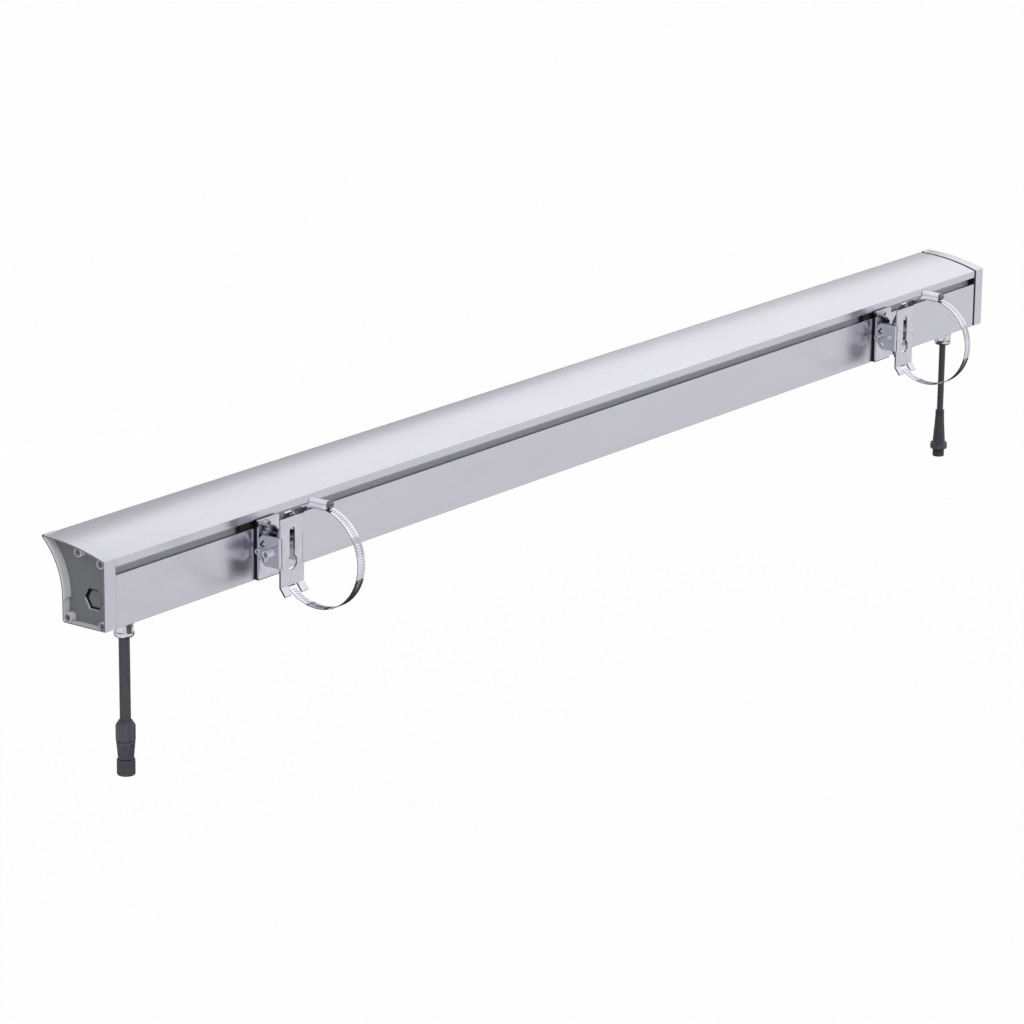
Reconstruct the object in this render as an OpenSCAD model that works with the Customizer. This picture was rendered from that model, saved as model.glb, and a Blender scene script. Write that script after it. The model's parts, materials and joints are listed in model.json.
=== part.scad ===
// Linear outdoor floodlight on two pipe clamps.
// X runs along the lamp, Y points from the pipe through the lamp to its lit front, Z is up.
// The origin is on the pipe's axis, midway between the two clamps. Millimetres.

/* [Lamp] */
// Length over both end caps
lamp_length = 1626; // [1000:1:2400]
// Height of the flat side that carries the groove
side_height = 70; // [68:0.5:76]
// Depth of the flat bottom
base_depth = 55; // [53:0.5:60]
// Reach of the flared tip from the flat side
tip_reach = 79.5; // [76:0.5:84]
// Height of the flared tip
tip_height = 82.6; // [80:0.5:86]
// Radius of the crowned top
top_radius = 248; // [200:1:400]
// Radius of the hollow front
front_radius = 75; // [70:1:90]
// Height at which the hollow front starts
front_start = 25; // [22:0.5:28]
// Wall of the extruded housing
wall = 2.2; // [1.8:0.1:3]

/* [Ends] */
// Length of an end cap
cap_length = 16; // [14:0.5:20]
// Depth of the tray in a cap's outer face
tray_depth = 8.5; // [6:0.5:9]
// Rim of the tray
tray_rim = 1.3; // [1:0.1:2]
// Rim of the tray beside the lit front
tray_front_rim = 3.6; // [3:0.1:4.5]
// Visible thickness of the right-hand seal
seal_right = 4.4; // [2:0.1:5]
// Across flats of the vent plug
plug_flats = 16.6; // [14:0.1:18]
// Across flats of the pocket round the vent plug
pocket_flats = 21.6; // [20:0.1:22]

/* [Groove] */
// Mouth of the mounting groove
groove_mouth = 8.3; // [8:0.1:8.6]
// Height of the groove's centre line
groove_height = 57.6; // [57:0.1:58]
// Inner width of the groove
groove_inside = 11.2; // [11:0.1:11.6]
// Lips of the groove
groove_lip = 2.5; // [2:0.1:3]
// Full depth of the groove
groove_depth = 9; // [8:0.1:9.5]

/* [Clamps] */
// Distance between the two clamps
clamp_spacing = 1150; // [600:1:1160]
// Distance from the pipe's axis to the flat side
pipe_to_side = 70; // [69:0.5:72]
// Height of the pipe's axis above the lamp's bottom
pipe_height = 33.3; // [33:0.1:34]
// Outer radius of the band
band_radius = 52.5; // [52:0.1:53]
// Width of the band
band_width = 11.6; // [11:0.1:12]
// Thickness of the band
band_gauge = 0.7; // [0.6:0.1:0.8]
// Sheet of the two steel plates
sheet = 2; // [1.8:0.1:2.2]
// Width of the inner plate
plate_width = 32; // [30:0.5:34]
// Height of the inner plate
plate_height = 61.8; // [60:0.1:62]
// Black pad behind the inner plate
pad_gauge = 2.5; // [2:0.1:3]
// Distance from the lamp's flat side to the pivot
pivot_reach = 23.8; // [23:0.1:24.5]
// Height of the pivot above the lamp's bottom
pivot_height = 33.1; // [32.5:0.1:33.5]
// Distance from the lamp's flat side to the front of the keyhole plate
web_reach = 34.5; // [34.4:0.1:35]
// Height of the keyhole plate between its bends
web_height = 70.2; // [69:0.1:71]
// Width of a finger of the keyhole plate
finger_width = 10.3; // [9:0.1:10.5]
// Length of a finger
finger_length = 10.2; // [9:0.1:11]
// Lean of the fingers away from the plate
finger_lean = 38; // [30:1:45]
// Width of the keyhole's slot
key_slot = 8.1; // [6:0.1:9]
// Radius of the keyhole's round end
key_radius = 7.75; // [7:0.05:8]

/* [Cables] */
// Distance of each cable from its end of the lamp
cable_inset = 52; // [48:0.5:60]
// Distance of each cable from the flat side
cable_depth = 23; // [20:0.5:25]
// Radius of the left cable
cable_left_r = 5.5; // [4:0.1:6]
// Radius of the right cable
cable_right_r = 3.9; // [3:0.1:5]
// Drop of the left cable below the lamp's bottom
cable_left_end = 106; // [90:1:140]
// Drop of the right cable below the lamp's bottom
cable_right_end = 105; // [90:1:140]
// Across flats of the cable glands
gland_flats = 18; // [17:0.5:20]
// Drop of a gland below the lamp's bottom
gland_drop = 21; // [18:0.5:24]

/* [Hidden] */
$fn = 64;
half = lamp_length / 2;
profile_start = -half + cap_length;
profile_end = half - cap_length - seal_right;
run_gap = 0.05;
clear_gap = 0.25;
swing_gap = 0.5;

// Centre of the circle through both edges of the crowned top
top_chord = norm([tip_reach, tip_height - side_height]);
top_lean = atan2(tip_height - side_height, tip_reach);
top_drop = sqrt(pow(top_radius, 2) - pow(top_chord / 2, 2));
top_centre = [tip_reach / 2 + top_drop * sin(top_lean),
              (side_height + tip_height) / 2 - top_drop * cos(top_lean)];
front_centre = [base_depth + front_radius, front_start];

// Screw ports that run the length of the profile, as [y, z]
port_bore = 1.65;
port_radius = 3.7;
ports = [[5, 4.6], [49.6, 5.2], [6.4, 66.4], [35, 73.2]];

// The lit opening is an arc of the hollow front, in degrees above its start
window_from = 4;
window_to = 43;
lens_gauge = 2.6;
lens_inset = 0.9;
lens_grip = 3;

// Inner parts
divider_y = 31;
board_y = divider_y + 2.1;
board_z = 33;
board_size = [1.6, 22];
board_length = 500;
board_pitch = board_length + 10;
board_count = 3;
chips_per_board = 12;
chip_y = board_y + board_size[0];
sheet_metal = 0.8;
reflector_low = 22;
reflector_reach = 16.4;
driver_size = [400, 17.8, 34];
tray_size = [500, 18.8, 36];
tray_y = groove_depth + 2.6;
driver_floor = wall + 1.6;

// Pipe clamps
clamp_x = clamp_spacing / 2;
web_back = pipe_to_side - web_reach + sheet;
web_bottom = -web_height / 2;
ear_half = plate_width / 2;
ear_gap = run_gap;
web_half = ear_half + ear_gap + sheet;
pivot = [pipe_to_side - pivot_reach, pivot_height - pipe_height];
pivot_r = 3;
nut_end = 9;
ear_reach = 17.2;
ear_rise = 15.6;
ear_round = 18.8;
ear_clip = 3.8;
bend_r = 3;
lock_r = 2.05;
lock_head_r = 2.9;
arc_radius = 13.6;
arc_half = 2.3;
arc_sweep = 45;
slot_screw_x = -6;
slot_pitch = 3;
slot_from = 51;
slot_to = 309;
case_angle = 90;
case_half = 12;
worm_r = 2.9;
worm_rise = 3.3;

// Connectors, as drops below the lamp's bottom
left_nut = [106, 110.6, 127];
left_body = [127, 146];
left_ring = [146, 162.4];
right_collar = [105, 113.7];
right_taper = [113.7, 146.6];
right_flange = [146.6, 154.5];
right_nose = [154.5, 164.4];
nose_r = 7.2;
nose_bore = 7;
sleeve_r = 6.85;
seal_face = gland_drop + 0.5;
gland_turn = -12;

// Routes of the two cables, each from its gland to its connector
left_route = [
    [-761, 93, -54.8],
    [-761, 93, -70],
    [-761, 93, -95],
    [-761, 93, -120],
    [-761, 93, -139.3]
];
right_route = [
    [761, 93, -54.8],
    [761, 93, -70],
    [761, 93, -90],
    [761, 93, -110],
    [761, 93, -138.3]
];

alu = [0.77, 0.77, 0.80];
cap_grey = [0.42, 0.42, 0.44];
steel = [0.78, 0.78, 0.80];
black = [0.08, 0.08, 0.09];
dark = [0.25, 0.26, 0.28];
nickel = [0.80, 0.80, 0.82];
white = [0.93, 0.93, 0.92];

// Moves a child from the lamp's own corner, side face and bottom to the shared origin
module on_lamp() {
    translate([0, pipe_to_side, -pipe_height]) children();
}

// Extrudes a drawing in [y, z] along X
module along_x(from, to) {
    translate([from, 0, 0]) rotate([90, 0, 90]) linear_extrude(to - from) children();
}

// A rod along X at [y, z]
module rod_x(from, to, at, r) {
    translate([from, at[0], at[1]]) rotate([0, 90, 0]) cylinder(r = r, h = to - from);
}

// Outline of the lamp seen from its left end, shrunk by an inset on every side
module lamp_section(inset = 0) {
    corner = 3 - inset;
    difference() {
        intersection() {
            polygon([
                [inset, inset], [base_depth - inset, inset], [base_depth - inset, front_start],
                [tip_reach - inset, front_start], [tip_reach - inset, tip_height + 20],
                [inset, tip_height + 20]
            ]);
            translate(top_centre) circle(r = top_radius - inset, $fn = 720);
        }
        translate(front_centre) circle(r = front_radius + inset, $fn = 360);
        if (corner > 0) translate([base_depth - 3, 3]) difference() {
            translate([0, -4]) square([4, 4]);
            circle(r = corner);
        }
    }
}

// A band that follows the hollow front, from one depth to another, between two angles
module front_arc(depth_from, depth_to, from, to) {
    far = front_radius + 20;
    intersection() {
        translate(front_centre) difference() {
            circle(r = front_radius + depth_to, $fn = 360);
            circle(r = front_radius + depth_from, $fn = 360);
        }
        translate(front_centre) polygon([
            [0, 0], [-far * cos(from), far * sin(from)],
            [-1.1 * far * cos((from + to) / 2), 1.1 * far * sin((from + to) / 2)],
            [-far * cos(to), far * sin(to)]
        ]);
    }
}

module housing_section() {
    difference() {
        union() {
            difference() {
                lamp_section();
                lamp_section(wall);
            }
            intersection() {
                lamp_section();
                union() {
                    translate([0, groove_height - groove_inside / 2 - 2])
                        square([groove_depth + 2, groove_inside + 4]);
                    for (p = ports) translate(p) circle(r = port_radius);
                    translate([ports[3][0] - 1.5, ports[3][1]]) square([3, 8]);
                    translate([divider_y, 0]) square([2, tip_height]);
                    front_arc(0, 6, window_from - 5, window_from);
                    front_arc(0, 6, window_to, window_to + 6);
                }
            }
        }
        translate([-1, groove_height - groove_mouth / 2]) square([groove_depth, groove_mouth]);
        translate([groove_lip, groove_height - groove_inside / 2])
            square([groove_depth - groove_lip, groove_inside]);
        for (p = ports) translate(p) circle(r = port_bore);
        front_arc(-1, 8, window_from, window_to);
        front_arc(lens_inset, lens_inset + lens_gauge + 0.2,
                  window_from - lens_grip, window_to + lens_grip);
    }
}

module housing() {
    color(alu) on_lamp() difference() {
        along_x(profile_start, profile_end) housing_section();
        for (s = [-1, 1])
            translate([s * (half - cable_inset), cable_depth, -1]) cylinder(r = 6.1, h = 6);
    }
}

// Outline of an end cap: the lamp's section with a bead along the flared tip
module cap_section() {
    lamp_section();
    translate([tip_reach - 1.5, tip_height - 0.6]) circle(r = 1.8);
}

// Tray in the cap's outer face, kept clear of the thicker rim beside the lit front
module tray_section() {
    difference() {
        lamp_section(tray_rim);
        intersection() {
            translate(front_centre) circle(r = front_radius + tray_front_rim, $fn = 360);
            translate([0, front_start - 1]) square([tip_reach, tip_height]);
        }
    }
}

plug_at = [21.7, 27];
ring_flats = 21;
pocket_depth = 4.3;
plug_face = 3.2;
seal_from = 3.7;
hex = 1 / cos(30) / 2;

module end_cap() {
    color(cap_grey) on_lamp() difference() {
        union() {
            difference() {
                along_x(-half, profile_start) cap_section();
                along_x(-half - 1, -half + tray_depth) tray_section();
                along_x(-half + tray_depth + pocket_depth + 1.2, profile_start + 1) lamp_section(6);
            }
            intersection() {
                union() {
                    for (p = ports) rod_x(-half + 1.2, profile_start - 1.5, p, 4.5);
                }
                along_x(-half, profile_start) lamp_section();
            }
        }
        for (p = ports) {
            rod_x(-half - 1, profile_start + 1, p, 2.15);
            rod_x(-half - 1, -half + 5.5, p, 3.6);
        }
        along_x(-half + 5, -half + tray_depth + pocket_depth)
            translate(plug_at) circle(r = pocket_flats * hex, $fn = 6);
        rod_x(-half + 5, profile_start + 1, plug_at, 5.1);
        along_x(profile_start - 1, profile_start + 1) difference() {
            lamp_section(1.6);
            lamp_section(3.4);
        }
    }
}

module end_cap_left() {
    end_cap();
}

module end_cap_right() {
    mirror([1, 0, 0]) end_cap();
}

module cap_seal_left() {
    color(black) on_lamp() along_x(profile_start - 1, profile_start) difference() {
        lamp_section(1.7);
        lamp_section(3.3);
        for (p = ports) translate(p) circle(r = 2.3);
    }
}

module cap_seal_right() {
    color(black) on_lamp() along_x(profile_end, half - cap_length) difference() {
        lamp_section(0.3);
        lamp_section(5);
        for (p = ports) translate(p) circle(r = 2.3);
    }
}

module socket_screw(head_r, head_h, shank_r, shank_h, key) {
    difference() {
        union() {
            translate([-head_h, 0, 0]) rotate([0, 90, 0]) cylinder(r = head_r, h = head_h);
            rotate([0, 90, 0]) cylinder(r = shank_r, h = shank_h);
        }
        translate([-head_h - 1, 0, 0]) rotate([0, 90, 0])
            cylinder(r = key * hex, h = head_h * 0.6 + 1, $fn = 6);
    }
}

// Places a child at both ends, turned so that its outer face is outward
module at_both_ends() {
    children();
    mirror([1, 0, 0]) children();
}

module cap_screws() {
    color(steel) at_both_ends() on_lamp()
        for (p = ports) translate([-half + 5.5, p[0], p[1]]) socket_screw(3.4, 4, 1.6, 26, 3);
}

module vent_rings() {
    color(white) at_both_ends() on_lamp()
        along_x(-half + tray_depth, -half + tray_depth + seal_from) translate(plug_at) difference() {
            circle(r = pocket_flats * hex - run_gap, $fn = 6);
            circle(r = ring_flats * hex, $fn = 6);
        }
}

module vent_plugs() {
    color(cap_grey) at_both_ends() on_lamp() {
        along_x(-half + tray_depth + plug_face, -half + tray_depth + seal_from)
            translate(plug_at) circle(r = plug_flats * hex, $fn = 6);
        rod_x(-half + tray_depth + seal_from, profile_start - 0.5, plug_at, 5);
    }
}

module vent_seals() {
    color(black) at_both_ends() on_lamp()
        along_x(-half + tray_depth + seal_from, -half + tray_depth + pocket_depth) translate(plug_at)
            difference() {
                circle(r = pocket_flats * hex - run_gap, $fn = 6);
                circle(r = 5.1);
            }
}

module cover_lens() {
    color([0.9, 0.93, 0.95, 0.5]) on_lamp() along_x(profile_start, profile_end)
        front_arc(lens_inset + 0.1, lens_inset + 0.1 + lens_gauge,
                  window_from - lens_grip + 0.4, window_to + lens_grip - 0.4);
}

// Silicone cords that press the lens against the profile from inside
module lens_seals() {
    color(black) on_lamp() for (a = [window_from + 1.2, window_to - 1.2])
        rod_x(profile_start, profile_end,
              front_centre + (front_radius + lens_inset + lens_gauge + 1.5) * [-cos(a), sin(a)], 1.3);
}

// Places a child at the start of each board in the row
module at_boards() {
    for (i = [0:board_count - 1])
        translate([(i - (board_count - 1) / 2) * board_pitch - board_length / 2, 0, board_z]) children();
}

module led_boards() {
    color(white) on_lamp() at_boards() translate([0, board_y, 0])
        cube([board_length, board_size[0], board_size[1]]);
}

module led_chips() {
    step = board_length / chips_per_board;
    color([0.95, 0.85, 0.45]) on_lamp() at_boards() for (k = [0:chips_per_board - 1])
        translate([(k + 0.5) * step - 1.5, chip_y, board_size[1] / 2 - 1.5]) cube([3, 0.9, 3]);
}

// Clear rod lens over the row of light sources, with a foot on each side
module optic_strip() {
    mid_z = board_z + board_size[1] / 2;
    color([0.9, 0.93, 0.95, 0.4]) on_lamp() along_x(profile_start + 30, profile_end - 30)
        difference() {
            union() {
                translate([chip_y, mid_z - 5.4]) square([2, 10.8]);
                intersection() {
                    translate([chip_y + 2, mid_z]) circle(r = 5);
                    translate([chip_y + 1, mid_z - 5]) square([8, 10]);
                }
            }
            translate([chip_y - 1, mid_z - 2.5]) square([2.5, 5]);
        }
}

// Polished strip from under the boards to the lower edge of the lens
module reflector() {
    color(nickel) on_lamp() along_x(profile_start + 20, profile_end - 20)
        translate([board_y + 0.1, reflector_low]) polygon([
            [0, 0], [reflector_reach, -1.5], [reflector_reach, -1.5 + sheet_metal],
            [sheet_metal, sheet_metal], [sheet_metal, 9.5], [0, 9.5]
        ]);
}

module inner_screws() {
    color(steel) on_lamp() {
        at_boards() for (x = [14, board_length - 14])
            translate([x, chip_y, 2.8]) rotate([-90, 0, 0]) cylinder(r = 2.4, h = 1.6);
        for (k = [-1, 1]) translate([k * (tray_size[0] / 2 - 20), tray_y + 5.4, driver_floor])
            cylinder(r = 2.8, h = 1.8);
    }
}

module driver() {
    color(dark) on_lamp() translate([-driver_size[0] / 2, tray_y + 0.6, driver_floor])
        cube(driver_size);
}

module driver_tray() {
    color(alu) on_lamp() difference() {
        translate([-tray_size[0] / 2, tray_y, wall]) cube(tray_size);
        translate([-tray_size[0] / 2 - 1, tray_y + 0.5, driver_floor]) cube(tray_size + [2, 1, 1]);
    }
}

module terminal_block() {
    color(white) on_lamp() translate([-half + cable_inset + 30, 13, wall]) difference() {
        cube([34, 14, 18]);
        for (k = [0:2]) translate([6 + 11 * k, 7, 6]) cylinder(r = 3, h = 20);
    }
}

module terminal_blocks() {
    at_both_ends() terminal_block();
}

module inner_wires() {
    reach = half - cable_inset - 64;
    near = driver_size[0] / 2;
    color([0.5, 0.3, 0.2]) on_lamp() for (s = [-1, 1], k = [0:2])
        rod_x(s < 0 ? -reach : near, s < 0 ? -near : reach, [15.5 + 4.5 * k, wall + 14], 1.3);
}

// A cable gland hangs below the bottom face at one end, on the left for -1 and right for 1
module at_gland(s) {
    on_lamp() translate([s * (half - cable_inset), cable_depth, 0]) children();
}

module gland_body(cable_r) {
    color(nickel) difference() {
        union() {
            translate([0, 0, -7]) rotate(gland_turn) cylinder(r = gland_flats * hex, h = 7, $fn = 6);
            cylinder(r = 6, h = 9);
        }
        translate([0, 0, -8]) cylinder(r = cable_r + 0.2, h = 20);
    }
}

// Union nut of a gland: six flats that run out into a round lower collar
module gland_nut(cable_r) {
    low = -gland_drop;
    collar = gland_flats * hex - 0.25;
    color(nickel) difference() {
        union() {
            translate([0, 0, low + 5]) rotate(gland_turn) cylinder(r = gland_flats * hex, h = 8.9, $fn = 6);
            translate([0, 0, low + 3]) cylinder(r = collar, h = 3);
            translate([0, 0, low]) cylinder(r1 = collar - 2.2, r2 = collar, h = 3);
        }
        translate([0, 0, low - 1]) cylinder(r = cable_r + 1.2, h = gland_drop + 2);
    }
}

module gland_body_left() {
    at_gland(-1) gland_body(cable_left_r - 1.5);
}

module gland_body_right() {
    at_gland(1) gland_body(cable_right_r - 0.5);
}

module gland_nut_left() {
    at_gland(-1) gland_nut(cable_left_r);
}

module gland_nut_right() {
    at_gland(1) gland_nut(cable_right_r);
}

module gland_locknuts() {
    color(nickel) for (s = [-1, 1]) at_gland(s) translate([0, 0, wall + 0.1]) difference() {
        cylinder(r = 15 * hex, h = 4, $fn = 6);
        translate([0, 0, -1]) cylinder(r = 6.05, h = 6);
    }
}

module gland_seals() {
    for (s = [-1, 1]) color(black) at_gland(s) translate([0, 0, -seal_face]) difference() {
        cylinder(r = (s < 0 ? cable_left_r : cable_right_r) + 1.1, h = seal_face - 7.5);
        translate([0, 0, -1]) cylinder(r = 2, h = seal_face);
    }
}

// One round tube along a route of points, square to X and Y at every ring
module cord(route, r, sides = 10) {
    count = len(route);
    rings = [for (p = route, k = [0:sides - 1]) p + r * [cos(360 * k / sides), sin(360 * k / sides), 0]];
    lids = [[for (k = [0:sides - 1]) k], [for (k = [sides - 1:-1:0]) (count - 1) * sides + k]];
    walls = [for (i = [0:count - 2], k = [0:sides - 1]) let (n = (k + 1) % sides)
        [i * sides + k, (i + 1) * sides + k, (i + 1) * sides + n, i * sides + n]];
    polyhedron(points = rings, faces = concat(lids, walls), convexity = 2);
}

module cable_left() {
    color(dark) cord(left_route, cable_left_r);
}

module cable_right() {
    color(dark) cord(right_route, cable_right_r);
}

// Long ribs round a turned part
module ribs(count, r, rib_r, from, to) {
    for (k = [0:count - 1]) rotate(360 * k / count) translate([r, 0, -to])
        cylinder(r = rib_r, h = to - from, $fn = 16);
}

module backnut_left() {
    color(dark) at_gland(-1) difference() {
        union() {
            translate([0, 0, -left_nut[2]]) cylinder(r = 10.2, h = left_nut[2] - left_nut[1], $fn = 8);
            translate([0, 0, -left_nut[1]]) cylinder(r1 = 9.4, r2 = 6.8, h = left_nut[1] - left_nut[0]);
        }
        ribs(8, 10.4, 0.9, left_nut[1] - 1, left_nut[2] + 1);
    }
}

module plug_body_left() {
    color(dark) at_gland(-1) difference() {
        union() {
            translate([0, 0, -left_body[1]])
                cylinder(r1 = 7.9, r2 = 9.5, h = left_body[1] - left_body[0]);
            translate([0, 0, -left_ring[1] + 3]) cylinder(r = sleeve_r, h = left_ring[1] - left_ring[0] - 3);
        }
        for (k = [0:5]) rotate(60 * k) translate([7.3, -4, -left_body[1] + 1.5])
            rotate([0, 4.8, 0]) cube([4, 8, 13]);
        translate([0, 0, -left_ring[1]]) cylinder(r = 5.9, h = 12);
    }
}

module coupling_ring_left() {
    color(dark) at_gland(-1) difference() {
        union() {
            translate([0, 0, -left_ring[1] + 1]) cylinder(r = 9.2, h = left_ring[1] - left_ring[0] - 1.2);
            translate([0, 0, -left_ring[1]]) cylinder(r1 = 8.4, r2 = 9.2, h = 1);
        }
        translate([0, 0, -left_ring[1] - 1]) cylinder(r = sleeve_r + run_gap, h = 20);
        ribs(24, 9.35, 0.5, left_ring[0] + 2, left_ring[1] - 1.5);
    }
}

module contact_insert_left() {
    color(black) at_gland(-1) translate([0, 0, -left_ring[1] + 4]) difference() {
        cylinder(r = 5.8, h = 7.5);
        for (k = [0:4]) rotate(72 * k) translate([3.3, 0, -1]) cylinder(r = 0.9, h = 6);
    }
}

module contacts_left() {
    color([0.85, 0.7, 0.35]) at_gland(-1) for (k = [0:4])
        rotate(72 * k) translate([3.3, 0, -left_ring[1] + 4.6]) difference() {
            cylinder(r = 0.85, h = 4);
            translate([0, 0, -1]) cylinder(r = 0.5, h = 4);
        }
}

module plug_body_right() {
    color(dark) at_gland(1) union() {
        difference() {
            translate([0, 0, -right_collar[1]]) cylinder(r = 5.5, h = right_collar[1] - right_collar[0]);
            for (k = [0:1]) translate([0, 0, -right_collar[0] - 3.4 - 3 * k]) difference() {
                cylinder(r = 6, h = 1.1);
                translate([0, 0, -1]) cylinder(r = 4.7, h = 3);
            }
        }
        translate([0, 0, -right_taper[1]])
            cylinder(r1 = 7.8, r2 = 5.5, h = right_taper[1] - right_taper[0]);
        difference() {
            translate([0, 0, -right_flange[1]]) cylinder(r = 10.4, h = right_flange[1] - right_flange[0]);
            ribs(18, 10.6, 0.7, right_flange[0] - 1, right_flange[1] + 1);
        }
    }
}

module plug_nose_right() {
    rise = right_nose[1] - right_nose[0];
    color(dark) at_gland(1) translate([0, 0, -right_nose[1]]) difference() {
        cylinder(r = nose_r, h = rise);
        translate([0, 0, -1]) cylinder(r = 5.4, h = nose_bore + 1);
    }
}

module contacts_right() {
    color([0.85, 0.7, 0.35]) at_gland(1) for (k = [0:4])
        rotate(72 * k) translate([3, 0, -right_nose[1] + 2]) cylinder(r = 0.7, h = nose_bore - 2);
}

// A clamp's own frame: X from the middle of the clamp, Y and Z from the pipe's axis
module at_clamp(s) {
    translate([s * clamp_x, 0, 0]) children();
}

module slot_pad() {
    color(black) on_lamp() difference() {
        translate([-ear_half, -pad_gauge, -0.6]) cube([plate_width, pad_gauge - run_gap, plate_height + 0.6]);
        translate([slot_screw_x, 1, groove_height]) rotate([90, 0, 0]) cylinder(r = 2.8, h = 6);
    }
}

// Inner plate: bolted to the groove, with two ears that carry the pivot
module base_plate() {
    round_r = pivot[0] - web_back - swing_gap;
    front = -pad_gauge - sheet;
    color(steel) difference() {
        union() {
            on_lamp() translate([-ear_half, front, 0]) cube([plate_width, sheet, plate_height]);
            for (s = [-1, 1]) translate([s > 0 ? ear_half - sheet : -ear_half, 0, 0]) {
                rod_x(0, sheet, pivot, round_r);
                translate([0, pivot[0], pivot[1] - round_r])
                    cube([sheet, pivot_reach + front + 0.5, 2 * round_r]);
            }
        }
        rod_x(-40, 40, pivot, pivot_r + run_gap);
        rod_x(-40, 0, lock_at, lock_r + run_gap);
        on_lamp() translate([slot_screw_x, 1, groove_height]) rotate([90, 0, 0]) cylinder(r = 2.7, h = 12);
    }
}

// Long nut inside the groove, reaching out from under the plate on the left
module slot_nut() {
    color(dark) on_lamp() difference() {
        translate([-36, groove_lip + run_gap, groove_height - groove_inside / 2 + clear_gap])
            cube([50, 5, groove_inside - 2 * clear_gap]);
        translate([slot_screw_x, 12, groove_height]) rotate([90, 0, 0]) cylinder(r = 2.5, h = 20);
    }
}

module slot_screw() {
    color(steel) on_lamp() translate([slot_screw_x, -pad_gauge - sheet, groove_height])
        rotate(90) socket_screw(4.25, 5, 2.45, pad_gauge + sheet + groove_lip + 5.5, 4);
}

// Clamping screw of the pivot, through the ears on the side of the nearer lamp end
module pivot_bolt(s) {
    color(steel) mirror([s > 0 ? 1 : 0, 0, 0])
        translate([-web_half - 1.4, pivot[0], pivot[1]])
            socket_screw(4.75, 9.6, pivot_r, web_half + 1.4 - nut_end + 0.8, 5);
}

// Nut inside the inner ear and a washer under the screw's head
module pivot_nut(s) {
    color(steel) mirror([s > 0 ? 1 : 0, 0, 0]) {
        difference() {
            translate([-ear_half + sheet, pivot[0], pivot[1]]) rotate([0, 90, 0])
                cylinder(r = 10 * hex, h = ear_half - sheet - nut_end, $fn = 6);
            rod_x(-40, 0, pivot, pivot_r);
        }
        difference() {
            rod_x(-web_half - 1.4, -web_half - run_gap, pivot, 5.2);
            rod_x(-40, 0, pivot, pivot_r);
        }
    }
}

// Plain pin of the pivot, through the ears on the other side and flush outside
module pivot_pin(s) {
    color(steel) mirror([s > 0 ? 1 : 0, 0, 0]) difference() {
        union() {
            rod_x(nut_end, web_half + 0.3, pivot, pivot_r);
            rod_x(nut_end, ear_half - sheet, pivot, 4.6);
        }
        rod_x(web_half - 1.5, web_half + 1, pivot, 1.3);
    }
}

lock_at = pivot + [arc_radius, 0];

// Locking screw in the base plate's ear; it travels in the arc slot as the lamp tilts
module lock_screw() {
    color(steel) difference() {
        union() {
            rod_x(-web_half - 7.5, -web_half - run_gap, lock_at, lock_head_r);
            rod_x(-web_half - 1, -ear_half + sheet, lock_at, lock_r);
        }
        translate([-web_half - 8.5, lock_at[0], lock_at[1]]) rotate([0, 90, 0])
            cylinder(r = 3 * hex, h = 5, $fn = 6);
    }
}

// Side view of an ear of the keyhole plate, with a clipped upper and a rounded lower corner
module ear_section() {
    intersection() {
        translate([0, pivot[1]]) polygon([
            [web_back - 0.5, -ear_rise], [pivot[0] + ear_reach, -ear_rise],
            [pivot[0] + ear_reach, ear_rise - ear_clip], [pivot[0] + ear_reach - ear_clip, ear_rise],
            [web_back - 0.5, ear_rise]
        ]);
        union() {
            translate(pivot) circle(r = ear_round);
            translate([0, pivot[1]]) square([100, 30]);
            translate([0, -60]) square([pivot[0], 90]);
        }
    }
}

// Slot on an arc about the pivot, from the level of the pivot downwards
module arc_slot() {
    translate(pivot) {
        intersection() {
            difference() {
                circle(r = arc_radius + arc_half);
                circle(r = arc_radius - arc_half);
            }
            polygon([[0, 0], [40, 0], [40 * cos(arc_sweep), -40 * sin(arc_sweep)]]);
        }
        for (a = [0, arc_sweep]) translate(arc_radius * [cos(a), -sin(a)]) circle(r = arc_half);
    }
}

// Outline of the keyhole plate seen from the pipe, with its keyhole
module web_section() {
    slot_top = web_height - 14.8;
    difference() {
        translate([-web_half, 0]) square([2 * web_half, web_height]);
        translate([0, 23]) circle(r = key_radius);
        translate([-key_slot / 2, 23]) square([key_slot, slot_top - 23]);
        translate([0, slot_top]) circle(r = key_slot / 2);
    }
}

// Side view of the web with a finger bent out of each end
module fingered_section() {
    front = web_back - sheet;
    rise = web_height / 2;
    way = [-sin(finger_lean), cos(finger_lean)];
    bend = [for (a = [0:finger_lean / 4:finger_lean + 0.01]) [front, rise] + sheet * [cos(a), sin(a)]];
    upper = concat(bend, [bend[4] + finger_length * way, [front, rise] + finger_length * way, [front, rise]]);
    lower = [for (k = [len(upper) - 1:-1:0]) [upper[k][0], -upper[k][1]]];
    polygon(concat(upper, lower));
}

// What a bend takes off the square corner between the web and an ear
module bend_corner() {
    translate([web_half - bend_r, web_back - sheet + bend_r, pivot[1] - ear_rise]) difference() {
        translate([0, -bend_r - 1, 0]) cube([bend_r + 1, bend_r + 1, 2 * ear_rise]);
        translate([0, 0, -1]) cylinder(r = bend_r, h = 2 * ear_rise + 2);
    }
}

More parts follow.
